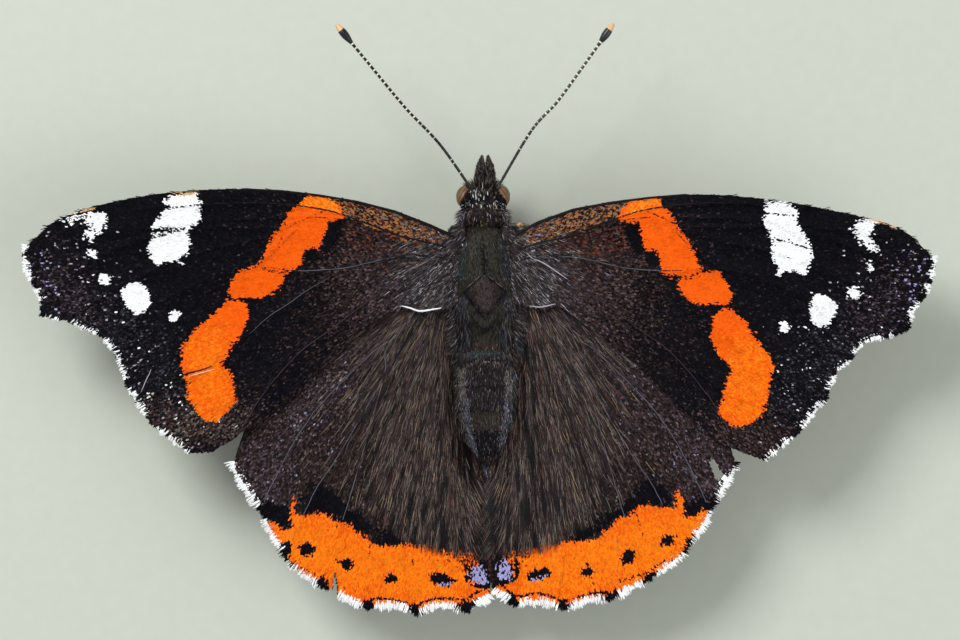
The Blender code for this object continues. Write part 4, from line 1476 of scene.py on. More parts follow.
def make_wings() -> None:
    """Build the four wings."""
    for side, forewing, hindwing, tears in (
            (Side.LEFT, LEFT_FOREWING, LEFT_HINDWING, LEFT_HINDWING_TEARS),
            (Side.RIGHT, RIGHT_FOREWING, RIGHT_HINDWING, RIGHT_HINDWING_TEARS)):
        Wing(node="forewing_" + side.word, side=side, plan=forewing, marks=marks_of(FOREWING_MARKS, side),
             fringe_marks=marks_of(FOREWING_FRINGE, side), veins=FOREWING_VEINS, base=(1.5, -4.2),
             hair_centre=(2.9, -3.4), hair_spread=(1.7, 1.7), hair_count=4000,
             hair_source=(-3.0, -9.0), hair_length=(0.25, 0.55), drop=-0.1,
             seed=SEED + side.value, hair_mix=SHOULDER_MIX, lines=BARE_LINES[side]).build()
        Wing(node="hindwing_" + side.word, side=side, plan=hindwing, marks=marks_of(HINDWING_MARKS, side),
             fringe_marks=marks_of(HINDWING_FRINGE, side), veins=HINDWING_VEINS, tears=tears,
             base=(2.0, -5.0), hair_centre=(3.0, 6.0), hair_spread=(2.7, 6.5), hair_count=18000,
             hair_source=(2.0, -5.0), hair_length=(0.6, 1.6), drop=0.15,
             seed=SEED + 10 + side.value, ground=Pigment.UMBER, fringe=0.54,
             hair_limit=pairs("0,17.6 1.2,17.2 4,16.8 5,16.4 6.5,15.4 9,13.8 12,12")).build()


@dataclass(frozen=True)
class Lobe:
    """A rounded piece of the trunk: where it is, its half sizes, and how blunt its ends are."""

    back: float
    height: float
    half_out: float
    half_along: float
    half_up: float
    bluntness: float

    def swell(self, back: Array) -> Array:
        """How full the lobe is at places along the trunk, from 0 outside it to 1 at its middle."""
        share = np.minimum(np.abs(back - self.back) / self.half_along, 1.0)
        return np.maximum(1.0 - share**self.bluntness, 0.0) ** (1.0 / self.bluntness)


SHOULDER_MIX = "PLUM 0.2 UMBER 0.26 SLATE 0.2 STONE 0.12 BROWN 0.07 SILVER 0.06 TEAL 0.08 BLUE 0.01"

# Regions of the trunk from the ground up: limits of its measures, and the mixture between them. The sooty V
# just behind the shield is painted shadow.
TRUNK_TINTS = f"""
back -20 99: UMBER 0.34 SOOT 0.2 PLUM 0.22 BROWN 0.16 STONE 0.08;
back -99 -8.3: SOOT 0.46 UMBER 0.26 STONE 0.1 FAWN 0.06 WHITE 0.05 BLUE 0.01;
back -99 -9.3: SOOT 0.5 UMBER 0.32 STONE 0.13 FAWN 0.05;
back -9.3 -8.2 over 0 2: WHITE 0.05 SILVER 0.02 BLACK 0.6;
back -8.3 -6.9: UMBER 0.38 PLUM 0.22 SOOT 0.26 STONE 0.08 FAWN 0.04 SILVER 0.02;
back -8 -7 wide 1.3 9: SILVER 0.3 PLUM 0.4;
back -7.06 -6.74 wide -1 0.2: FAWN 0.4;
back -6.9 -1.6 wide -1 2.1: OLIVE 0.55 SLATE 0.14 TEAL 0.12 UMBER 0.19;
back -6.8 -3 wide 1.3 2: TEAL 0.36 SLATE 0.26 OLIVE 0.24 STONE 0.1 BLUE 0.04;
back -6.9 1 wide 1.98 9 over 0 2: {SHOULDER_MIX};
back -5.6 -3.2 wide -1 0.09: BLACK 1;
back -5.51 -5.41 wide -1 0.05: WHITE 0.8;
back -1.6 1.6: OLIVE 0.36 SLATE 0.16 UMBER 0.24 TEAL 0.14 SOOT 0.1;
back -1.8 2.5 wide 1.25 9 over 0 2: STEEL 0.12 SLATE 0.3 STONE 0.14 UMBER 0.2 PLUM 0.12;
shield 0 9: UMBER 0.58 BROWN 0.14 SOOT 0.18 SLATE 0.1;
shield 0.2 9 wide 0.12 0.6: BROWN 0.5 RUSSET 0.06;
shield 0 9 wide -1 0.1: SLATE 0.6 SOOT 0.4;
shield 0 0.1: BLACK 1;
chevron -1 0.13 wide -1 1.5: SOOT 1;
back 1.5 1.82 wide -1 0.95: BROWN 0.45 RUSSET 0.3;
back 1.85 2.15 wide -1 1.1: OLIVE 0.7 FAWN 0.1;
back 2.3 99: SLATE 0.24 SOOT 0.22 OLIVE 0.2 PLUM 0.26 STONE 0.06 STEEL 0.02;
back 6.5 7.8: OLIVE 0.4 BROWN 0.35;
back 2.1 2.5 wide -1 1.2: TEAL 0.45 SLATE 0.2;
seam -1 0.1 share -1 0.6: BLACK 0.5;
arc -1 0.05 wide -1 1.3: STONE 0.5;
back 3.2 4.1 wide -1 0.85: SOOT 0.45;
back 7.8 9.6 share -1 0.74: BLACK 0.66;
back 3.3 9.9 share 0.6 0.86: SILVER 0.05 BLUE 0.02 STEEL 0.15 STONE 0.2 SLATE 0.2;
back 5.6 9.8 share 0.55 0.8: SILVER 0.04 BLUE 0.05 STEEL 0.26 SLATE 0.25;
back 2.3 10.5 share 0.84 9 over -0.3 2: SLATE 0.3 OLIVE 0.3 BROWN 0.22 STONE 0.14;
back 10.5 99: PLUM 0.1 STEEL 0.3 STONE 0.34 LILAC 0.12 SILVER 0.14;
over -2 -0.15: STONE 0.4 FAWN 0.22 BROWN 0.3 BUFF 0.08;
"""


# Its hair from the ground up: limits of a region, the length of its hairs, how much longer some
# are, and their lift as a share of the length.
TRUNK_HAIRS = """
all over: back -99 99: length 0.24 lift 0.14;
panel: back -6.6 0.4 flank -1 0.8 over 0 2: length 0.24 lift 0.1;
shield: shield 0 9: length 0.17 lift 0.07;
collar: back -8.35 -6.7: length 0.25 lift 0.2;
flank tuft: back -7 1.6 flank 0.84 2 over 0 2: length 0.4 stray 0.4 lift 0.16;
rear tuft: back -0.6 2.4 flank 0.4 2 over 0 2: length 0.5 stray 0.3;
border: back 2 10 flank 0.8 2: length 0.35 stray 0.3;
belly: back -99 2 over -2 0: length 0.55 lift 0.3;
tail: back 10.6 99: length 0.6 lift 0.5;
crown: back -99 -8.6 over 0 2: length 0.24 lift 0.3;
face: back -99 -9.45: length 0.5;
"""


@dataclass(frozen=True)
class Trunk:
    """The skin from the face to the tail tip, one unbroken surface inside the trunk's solids.

    A place on it is (back, turn): the turn is 0 on the left flank and a quarter on the back.
    """

    lobes: tuple[Lobe, ...] = (
        Lobe(-9.2, 6.2, 1.2, 0.72, 1.15, 2.3),
        Lobe(-8.35, 6.1, 1.35, 1.1, 1.25, 3.0),
        Lobe(-7.45, 6.0, 1.68, 0.7, 1.55, 2.6),
        Lobe(-2.4, 5.8, 2.35, 4.7, 2.25, 2.7),
        Lobe(2.0, 5.5, 2.05, 1.7, 1.75, 3.0),
    )
    start: float = -9.92
    end: float = 11.75
    abdomen_start: float = 2.2
    abdomen_heights: tuple[float, float] = (5.5, 4.95)
    abdomen_halves: tuple[tuple[float, float], ...] = (
        (2.2, 2.1), (3.2, 2.28), (4.3, 2.35), (5.5, 2.33), (6.5, 2.22), (7.8, 1.92), (8.7, 1.6),
        (9.4, 1.3), (10.2, 0.9), (10.8, 0.62), (11.3, 0.52), (11.75, 0.42))
    depth_share: float = 0.88
    squareness: float = 0.84
    tergites: tuple[float, ...] = (2.8, 4.65, 6.4, 7.9, 9.4, 10.5, 11.3)
    tergite_lift: float = 0.06
    shield: tuple[float, float, float, float] = (-3.4, -2.1, -0.15, 1.55)
    shield_rise: float = 0.16
    groove: tuple[float, float] = (-6.3, -3.2)
    groove_width: float = 0.09
    groove_depth: float = 0.09
    face_middle: tuple[float, float, float] = (0.0, -8.6, 6.4)
    face_lie: tuple[float, float, float] = (0.0, -0.7, -0.2)
    blend: float = 7.0
    rings: int = 230
    sides: int = 72

    def profile(self, back: Array) -> tuple[Array, Array, Array]:
        """Half width, half height and middle height along the trunk.

        Args:
            back: Places along it.

        Returns:
            The three sizes at each place.
        """
        share = np.clip((back - self.abdomen_start) / (self.end - self.abdomen_start), 0.0, 1.0)
        near = back[:, None] + np.linspace(-0.5, 0.5, 7)
        radius = np.interp(near, *zip(*self.abdomen_halves)).mean(axis=1)
        radius *= (back >= self.abdomen_start) * np.sqrt(np.clip((self.end - back) / 0.35, 0.0, 1.0))
        high, low = self.abdomen_heights
        outs = [lobe.half_out * lobe.swell(back) for lobe in self.lobes] + [radius]
        ups = [lobe.half_up * lobe.swell(back) for lobe in self.lobes] + [radius * self.depth_share]
        heights = [lobe.height + back * 0 for lobe in self.lobes] + [high + (low - high) * share]
        weight = np.array(outs) ** self.blend
        middle = (weight * np.array(heights)).sum(axis=0) / np.maximum(weight.sum(axis=0), 1e-9)
        half_up = (np.array(ups) ** self.blend).sum(axis=0) ** (1 / self.blend)
        return weight.sum(axis=0) ** (1 / self.blend), half_up, middle

    def in_shield(self, out: Array, back: Array) -> Array:
        """Depth inside the diamond-shaped shield behind the thorax, 0 at its edge and outside."""
        front, widest, rear, half = self.shield
        ahead = np.where(back < widest, (back - front) / (widest - front),
                         (rear - back) / (rear - widest))
        return np.clip(ahead - np.abs(out) / half, 0.0, 1.0)

    def square(self, back: Array) -> Array:
        """How round the trunk is across: 1 at the head, and less where the thorax is boxy."""
        return np.interp(back, (-7.7, -6.6), (1.0, self.squareness))

    def places(self, back: Array, turn: Array) -> Array:
        """Points of the skin, with the relief of its plates.

        Args:
            back: Places along the trunk.
            turn: Angles round it in radians.

        Returns:
            (out, back, height), out being positive on the left.
        """
        wide, tall, middle = self.profile(back)
        edges = np.array((self.abdomen_start, *self.tergites, self.end + 0.5))
        at = np.clip(np.searchsorted(edges, back) - 1, 0, len(edges) - 2)
        gone = np.clip((back - edges[at]) / (edges[at + 1] - edges[at]), 0.0, 1.0)
        plate = self.tergite_lift * (gone**1.5 - 0.6) * (back > self.abdomen_start)
        plate *= np.clip(wide / 1.2, 0.0, 1.0)
        square = self.square(back)
        out = (wide + plate) * np.sign(np.cos(turn)) * np.abs(np.cos(turn)) ** square
        up = (tall + plate) * np.sign(np.sin(turn)) * np.abs(np.sin(turn)) ** square
        over = np.sin(turn) > 0
        up += self.shield_rise * np.minimum(self.in_shield(out, back) * 5, 1.0) * over
        groove = np.exp(-(out / self.groove_width) ** 2)
        groove *= np.clip((-back + self.groove[1]) * 2, 0, 1)
        groove *= np.clip((back - self.groove[0]) * 2, 0, 1)
        up -= self.groove_depth * groove * over
        return np.stack((out, back, middle + up), axis=-1)

    def paint(self, out: Array, back: Array, turn: Array, luck: Array) -> Array:
        """The pigment of skin and hair at places on the trunk.

        Args:
            out: Distance from the median line, positive on the left.
            back: Places along the trunk.
            turn: Angles round it.
            luck: From 0 to 1, picks from the mixture; 0.3 takes the main pigment.

        Returns:
            One Pigment mark for each place.
        """
        marks = np.full(len(out), Pigment.OLIVE.mark)
        wide = np.abs(out)
        measures = {
            "back": back, "wide": wide, "over": np.sin(turn), "shield": self.in_shield(out, back),
            "share": wide / np.maximum(self.profile(back)[0], 0.1),
            # The V measured next is a line of painted shadow behind the shield.
            "chevron": np.abs(back - 0.75 + wide * 0.7),
            "arc": np.abs(back - 2.85 - wide**2 * 0.12),
            "seam": np.abs(back[:, None] - self.tergites).min(axis=1),
        }
        for row in TRUNK_TINTS.split(";")[:-1]:
            region, pigments = row.split(":")
            where = within(measures, region)
            gone = 0.0
            for pigment, part in mixture(pigments):
                marks[where & (luck >= gone) & (luck < gone + part)] = pigment.mark
                gone += part
        return marks

    def skin(self) -> None:
        """The skin as one closed mesh."""
        rng = np.random.default_rng(SEED + 20)
        t = (1 - np.cos(np.linspace(0.0, math.pi, self.rings + 1))) / 2
        t = 0.35 * t + 0.65 * np.linspace(0.0, 1.0, self.rings + 1)
        back = self.start + (self.end - self.start) * t
        turn = np.linspace(0.0, 2 * math.pi, self.sides, endpoint=False)
        grid_back, grid_turn = np.meshgrid(back, turn, indexing="ij")
        places = self.places(grid_back.ravel(), grid_turn.ravel())
        faces = grid_faces(self.rings + 1, self.sides)
        mesh = make_mesh("body_skin", yawed(to_world(Side.LEFT, places)), faces)
        middle = places[faces].mean(axis=1)
        flat_turn = grid_turn.ravel()[faces[:, 0]] + math.pi / self.sides
        middle += rng.normal(0.0, 0.07, middle.shape)
        marks = self.paint(middle[:, 0], middle[:, 1], flat_turn, np.full(len(faces), 0.3))
        set_pigment(mesh, marks, rng)
        add_piece(mesh, CUTICLE, ["thorax", "prothorax", "head", "abdomen"])

    def on_top(self, path: Sequence[tuple[float, float]], lift: float) -> Array:
        """A smooth path over the back of the trunk, on the model.

        Args:
            path: Knots (out, back) along it.
            lift: Its height over the skin.

        Returns:
            Points in millimetres.
        """
        out, back = smooth_path(np.array(path, float), 24).T
        square = self.square(back)
        share = np.clip(out / self.profile(back)[0], -1.0, 1.0)
        turn = np.arccos(np.sign(share) * np.abs(share) ** (1 / square))
        places = self.places(back, turn) + (0.0, 0.0, lift)
        return yawed(to_world(Side.LEFT, places)) / MM

    def seams(self) -> None:
        """The dark seams between the plates of the back, the pale edges of the shield, and a black V behind
        it that is painted shadow.
        """
        rng = np.random.default_rng(SEED + 25)
        front, widest, rear, half = self.shield
        tubes = []
        for sign in (1, -1):
            for path, kind, radius in (
                (((0.02, front + 0.03), (half, widest)), Pigment.BLACK, 0.035),
                (((half, widest), (0.85, 0.5 * (widest + rear))), Pigment.BLACK, 0.05),
                (((0.75, 0.5 * (widest + rear) + 0.1), (0.02, rear)), Pigment.BLACK, 0.05),
                (((0.35, front + 0.2), (0.62, front + 0.44)), Pigment.STONE, 0.022),
                (((0.8, front + 0.6), (1.25, widest - 0.34)), Pigment.STONE, 0.028),
                # A black V behind the shield: painted shadow.
                (((1.1, widest + 1.5), (0.6, rear + 0.3), (0.02, rear + 0.75)), Pigment.BLACK, 0.04),
            ):
                places = self.on_top([(sign * out, back) for out, back in path], 0.07)
                radii = radius * np.sin(np.linspace(0.3, math.pi - 0.3, len(places))) ** 0.5
                tubes.append(thread(places, radii, kind, rng))
        groove = self.on_top(((0.0, -5.4), (0.02, -3.4)), 0.07)
        tubes.append(thread(groove, np.linspace(0.015, 0.045, len(groove)), Pigment.BLACK, rng))
        add_piece(join_meshes("back_seams", tubes), CUTICLE, ["thorax"])

    def coat(self, name: str, node: str, first: float, last: float, step: float, seed: int) -> None:
        """Hair over one stretch of the trunk, lying back along it.

        Args:
            name: The piece's name.
            node: The node that it stands for, which it hides.
            first: Where the stretch starts.
            last: Where it ends.
            step: Distance between hairs.
            seed: Picks the hairs.
        """
        rng = np.random.default_rng(seed)
        backs, turns = [], []
        for back in np.arange(first, last, step):
            wide, tall, _ = self.profile(np.array([back]))
            count = max(int(math.pi * (wide[0] + tall[0]) / step), 3)
            turn = (np.arange(count) + rng.uniform(0, 1, count)) / count * 2 * math.pi
            backs.append(back + rng.uniform(-0.5, 0.5, count) * step)
            turns.append(turn)
        back = np.clip(np.concatenate(backs), self.start + 0.02, self.end - 0.02)
        turn = np.concatenate(turns)
        here = self.places(back, turn)
        behind = self.places(back + 0.03, turn) - here
        round_it = self.places(back, turn + 0.02) - here
        up = unit(np.cross(round_it, behind))
        up *= np.sign(np.sum(up * np.column_stack((np.cos(turn), turn * 0, np.sin(turn))), axis=1,
                             keepdims=True))
        lie, length, lift = self.lay(here, back, turn, unit(behind), rng)
        count = len(back)
        roots = yawed(to_world(Side.LEFT, here)) / MM
        blur = rng.normal(0.0, 0.08, (2, count))
        marks = self.paint(here[:, 0] + blur[0], back + blur[1], turn, rng.random(count))
        coat = Coat(
            name=name, blade=HAIR_BLADE, roots=roots, lie=lie + rng.normal(0.0, 0.13, (count, 3)),
            up=up, length=length * rng.uniform(0.7, 1.25, count),
            width=rng.uniform(0.045, 0.08, count), lift=lift,
            bend=rng.normal(0.0, 0.12, count),
            pigments=marks, grain=grain_of(marks, rng),
            unwrap=np.column_stack((turn / (2 * math.pi),
                                    (back - self.start) / (self.end - self.start))),
        )
        add_piece(coat.mesh(), HAIR, [node])

    def lay(self, here: Array, back: Array, turn: Array, behind: Array,
            rng: Random) -> tuple[Array, Array, Array]:
        """Which way the hairs point, how long they are and how far they stand off.

        Args:
            here: Their roots.
            back: Places along the trunk.
            turn: Angles round it.
            behind: The direction along the skin towards the tail.
            rng: The source of the spread.

        Returns:
            Directions, lengths, and lift as a share of the length.
        """
        flank = np.abs(np.cos(turn))
        measures = {"back": back, "flank": flank, "over": np.sin(turn),
                    "shield": self.in_shield(here[:, 0], back)}
        length, lift, found = np.zeros(len(back)), np.zeros(len(back)), {}
        for row in TRUNK_HAIRS.split(";")[:-1]:
            name, region, sizes = row.split(":")
            where = found[name.strip()] = within(measures, region)
            words = sizes.split()
            size = dict(zip(words[::2], map(float, words[1::2])))
            length[where] = size["length"]
            if "stray" in size:
                length[where] += size["stray"] * rng.random(where.sum())
            lift[where] = size.get("lift", lift[where])
        lie = behind.copy()
        lie[:, 0] += np.sign(here[:, 0]) * 0.35 * flank * (
            found["flank tuft"] | found["collar"] | found["border"])
        lie[found["crown"]] *= -1.0
        face = found["face"]
        lie[face] = unit(here[face] - np.array(self.face_middle)) + np.array(self.face_lie)
        reach = np.clip(self.end + 0.45 - back, 0.25, 1.0)
        return unit(lie), length * reach, lift

    def build(self) -> None:
        """Make the skin and its coat."""
        self.skin()
        self.seams()
        self.coat("head_hair", "head", self.start, -8.4, 0.1, SEED + 21)
        self.coat("collar_hair", "prothorax", -8.4, -6.85, 0.09, SEED + 22)
        self.coat("thorax_hair", "thorax", -6.85, 2.3, 0.108, SEED + 23)
        self.coat("abdomen_hair", "abdomen", 2.3, self.end, 0.1, SEED + 24)


@dataclass(frozen=True)
class Ball:
    """An ellipsoid on one side of the body: its middle and half sizes, (out, back, height)."""

    side: Side
    centre: tuple[float, float, float]
    half: tuple[float, float, float]

    def place(self, ways: Array) -> tuple[Array, Array]:
        """Points of its surface in directions from its middle, and the way out of it, on the model."""
        places = np.array(self.centre) + ways * np.array(self.half)
        normals = unit(ways / np.array(self.half)) * (self.side.value, 1.0, 1.0)
        return yawed(to_world(self.side, places)), normals

    def mesh(self, name: str, rings: int = 36, sides: int = 48) -> tuple[Mesh, Array]:
        """The ball as a mesh.

        Args:
            name: The mesh's name.
            rings: Rings from its inner pole to its outer one.
            sides: Corners of a ring.

        Returns:
            The mesh, and the direction of each of its points from the middle.
        """
        swing, turn = np.meshgrid(np.linspace(0.002, math.pi - 0.002, rings),
                                  np.linspace(0.0, 2 * math.pi, sides, endpoint=False), indexing="ij")
        ways = np.stack((np.cos(swing), np.sin(swing) * np.cos(turn), np.sin(swing) * np.sin(turn)),
                        axis=-1).reshape(-1, 3)
        turns = FLIPPED if self.side is Side.LEFT else FLIPPED[::-1]
        faces = grid_faces(rings, sides)[:, turns]
        return make_mesh(name, self.place(ways)[0], faces), ways

    def hair(self, name: str, node: str, ways: Array, lie: Array,
             length: tuple[float, float], lift: float,
             mix: str, rng: Random) -> None:
        """Hair rooted on the ball.

        Args:
            name: The coat's name.
            node: The node that it stands for, which it hides.
            ways: Directions of the roots from the ball's middle.
            lie: Which way each hair points, on the left side.
            length: The shortest and longest hair.
            lift: How far they stand off, as a share of the length.
            mix: Pigments and their shares.
            rng: The source of their spread.
        """
        count = len(ways)
        roots, up = self.place(ways)
        marks = mixed(mix, count, rng)
        coat = Coat(
            name=name, blade=HAIR_BLADE, roots=roots / MM, up=up,
            lie=lie * (self.side.value, 1.0, 1.0) + rng.normal(0.0, 0.14, (count, 3)),
            length=rng.uniform(*length, count), width=rng.uniform(0.04, 0.065, count),
            lift=np.full(count, lift), bend=rng.normal(0.0, 0.1, count),
            pigments=marks, grain=grain_of(marks, rng), unwrap=np.column_stack((
                0.5 + np.arctan2(ways[:, 1], ways[:, 0]) / (2 * math.pi), 0.5 + 0.5 * ways[:, 2])),
        )
        add_piece(coat.mesh(), HAIR, [node])


@dataclass(frozen=True)
class Eye:
    """A compound eye: black scales over its inner rear half, and two dotted white lines in them."""

    ball: Ball
    band_way: tuple[float, float, float] = (0.75, -0.62, -0.1)
    cap_way: tuple[float, float, float] = (-0.74, 0.62, 0.26)
    cap_share: float = 0.1
    scales: int = 1300
    lines: tuple[float, float] = (0.6, 0.84)
    line_width: float = 0.045

    def build(self) -> None:
        """Make the eye and its rim."""
        name = "eye_" + self.ball.side.word
        mesh, ways = self.ball.mesh(name + "_lens")
        add_attribute(mesh, "band", 0.5 + 0.5 * ways @ unit(np.array(self.band_way)))
        add_piece(mesh, EYE, [name])
        rng = np.random.default_rng(SEED + 30 + self.ball.side.value)
        pole = unit(np.array(self.cap_way))
        ways = unit(rng.normal(0.0, 1.0, (self.scales * 4, 3)))
        ways = ways[(ways @ pole > self.cap_share + rng.normal(0.0, 0.02, len(ways)))
                    & (ways[:, 2] > -0.5)][:self.scales]
        lie = np.array((-0.5, 0.75, 0.1)) + 0.3 * rng.normal(0, 1, ways.shape)
        aslant = ways[:, 1:2] - 0.38 * ways[:, :1]
        dotted = np.abs(aslant - self.lines).min(axis=1) < self.line_width
        dotted &= (ways[:, 2] > -0.1) & (ways[:, 0] > -0.75)
        self.ball.hair(name + "_cap", name, ways[~dotted], lie[~dotted], (0.1, 0.18), 0.12,
                       "BLACK 0.86 SOOT 0.14", rng)
        self.ball.hair(name + "_dots", name, ways[dotted], lie[dotted] * 0.5, (0.09, 0.12), 0.3,
                       "WHITE 0.55 BLACK 0.45", rng)


@dataclass(frozen=True)
class Shoulder:
    """The scaled flap over a forewing's root, and the long hair that hides the joint."""

    side: Side
    flaps: tuple[tuple[tuple[float, float, float], tuple[float, float, float]], ...] = (
        ((1.7, -6.3, 6.6), (0.6, 0.75, 0.95)), ((2.35, -5.0, 6.7), (0.75, 1.5, 0.95)),
        ((2.4, -2.8, 6.5), (0.6, 1.8, 0.95)), ((2.25, 0.3, 6.0), (0.55, 2.6, 1.0)))
    hairs: int = 1000

    def build(self) -> None:
        """Make the flaps, largest in front, each with its hair."""
        rng = np.random.default_rng(SEED + 90 + self.side.value)
        for at, (centre, half) in enumerate(self.flaps):
            ball = Ball(self.side, centre, half)
            name = f"shoulder_{self.side.word}_{at}"
            mesh, _ = ball.mesh(name, 20, 28)
            set_pigment(mesh, np.full(len(mesh.polygons), Pigment.UMBER.mark), rng)
            add_piece(mesh, CUTICLE, ["thorax"])
            ways = unit(rng.normal(0.0, 1.0, (self.hairs * 3, 3)))
            ways = ways[(ways[:, 2] > -0.2) & (ways[:, 0] > -0.6)][:self.hairs]
            lie = np.array((0.75, 0.75, -0.35)) + 0.35 * ways
            ball.hair(name + "_hair", "thorax", ways, lie, (0.25, 0.5 if at < 2 else 0.8), 0.1,
                      SHOULDER_MIX, rng)


@dataclass(frozen=True)
class Strand:
    """A tapering limb that carries scales: its path, its radius along it and its coat."""

    name: str
    node: str
    path: Array
    radii: Array
    pigments: Array
    up: tuple[float, float, float] = UP
    sides: int = 12

    def build(self, finish: Finish, rng: Random) -> None:
        """The bare limb."""
        mesh = tube_mesh(self.name, self.path, self.radii, self.up, self.sides)
        rings = len(mesh.polygons) // self.sides
        spare = rings - len(self.pigments)
        each = np.pad(self.pigments, (spare // 2, spare - spare // 2), "edge")
        set_pigment(mesh, np.repeat(each, self.sides), rng)
        add_piece(mesh, finish, [self.node])

    def dress(self, name: str, count: int, length: tuple[float, float], lift: float,
              mix: str, rng: Random, width: float = 0.05) -> None:
        """Scales all round the limb, lying towards its tip.

        Args:
            name: The coat's name.
            count: How many.
            length: Their shortest and longest.
            lift: How far they stand off, as a share of the length.
            mix: Pigments and their shares.
            rng: The source of their spread.
            width: Their width.
        """
        at = rng.uniform(0.0, len(self.path) - 1.0, count)
        turn = rng.uniform(0.0, 2 * math.pi, count)
        steps = np.arange(len(self.path))
        along = unit(np.gradient(self.path, axis=0))
        centre = along_path(at, steps, self.path)
        forward = unit(along_path(at, steps, along))
        across = unit(np.cross(forward, np.array(self.up)))
        over = np.cross(across, forward)
        outward = across * np.cos(turn)[:, None] + over * np.sin(turn)[:, None]
        radius = np.interp(at, steps, self.radii)
        marks = mixed(mix, count, rng)
        coat = Coat(
            name=name, blade=HAIR_BLADE, roots=centre + outward * radius[:, None] * 0.96,
            lie=forward + rng.normal(0.0, 0.12, (count, 3)), up=outward,
            length=rng.uniform(*length, count) * (0.35 + 0.65 * radius / self.radii.max()),
            width=width * rng.uniform(0.8, 1.2, count), lift=np.full(count, lift),
            bend=rng.normal(0.0, 0.1, count), pigments=marks, grain=grain_of(marks, rng),
            unwrap=np.column_stack((at / len(self.path), turn / (2 * math.pi))),
        )
        add_piece(coat.mesh(), HAIR, [self.node])


@dataclass(frozen=True)
class Antenna:
    """A feeler: a ringed shaft that ends in a black club with a pale tip.

    widest is where along the club it is thickest, as a share of its length.
    """

    side: Side
    path: Triples
    shaft: float = 0.105
    root: float = 0.14
    club: float = 0.29
    tip: float = 0.16
    club_length: float = 1.9
    ring_length: float = 0.4
    pale_length: float = 0.11
    tip_length: float = 0.42
    ring_step: float = 0.055
    pinch: float = 0.012
    widest: float = 0.62

    def build(self) -> None:
        """Make the feeler, each ring of the shaft pinched where two joints meet."""
        rng = np.random.default_rng(SEED + 40 + self.side.value)
        knots = to_world(self.side, np.array(self.path)) / MM
        length = np.linalg.norm(np.diff(knots, axis=0), axis=1).sum()
        path = smooth_path(knots, int(length / self.ring_step))
        gone = np.linspace(0.0, length, len(path))
        left = length - gone
        club = np.clip(1 - left / self.club_length, 0.0, 1.0)
        swell = np.sin(np.minimum(club / self.widest, 1.0) * math.pi / 2) ** 2
        end = np.clip((club - self.widest) / (1.0 - self.widest), 0.0, 1.0)
        radii = self.shaft + (self.club - self.shaft) * swell - (self.club - self.tip) * end**2
        phase = (gone % self.ring_length) / self.ring_length
        radii -= self.pinch * (np.abs(phase - 0.5) > 0.4) * (club <= 0)
        radii += (self.root - self.shaft) * np.exp(-(gone / 0.3) ** 2)
        pale = (gone % self.ring_length < self.pale_length) & (club < 0.25) & (gone > 1.5)
        pale &= rng.random(len(path)) < 0.05 + 0.95 * np.clip(gone / (0.5 * length), 0.0, 1.0) ** 2
        marks = np.where(pale, Pigment.IVORY.mark, Pigment.BLACK.mark)
        marks[left < self.tip_length] = Pigment.BUFF.mark
        name = "antenna_" + self.side.word
        Strand(name + "_shaft", name, path, radii, marks[:-1]).build(POLISHED, rng)


@dataclass(frozen=True)
class Palp:
    """A palp: a short limb in front of the face under a brush of scales."""

    side: Side
    path: Triples = ((0.4, -9.3, 5.0), (0.34, -10.2, 5.2), (0.32, -11.0, 5.8), (0.22, -11.8, 6.45))
    radii: tuple[float, ...] = (0.36, 0.36, 0.25, 0.04)
    scales: int = 2000

    def build(self) -> None:
        """Make the palp and its brush."""
        rng = np.random.default_rng(SEED + 50 + self.side.value)
        path = smooth_path(to_world(self.side, np.array(self.path)) / MM, 24)
        radii = np.interp(np.linspace(0, 3, 25), np.arange(4), self.radii)
        name = "palp_" + self.side.word
        limb = Strand(name + "_limb", name, path, radii, np.full(24, Pigment.UMBER.mark))
        limb.build(CUTICLE, rng)
        limb.dress(name + "_brush", self.scales, (0.22, 0.42), 0.22,
                   "SOOT 0.3 UMBER 0.26 STONE 0.2 FAWN 0.12 SILVER 0.12", rng, 0.055)


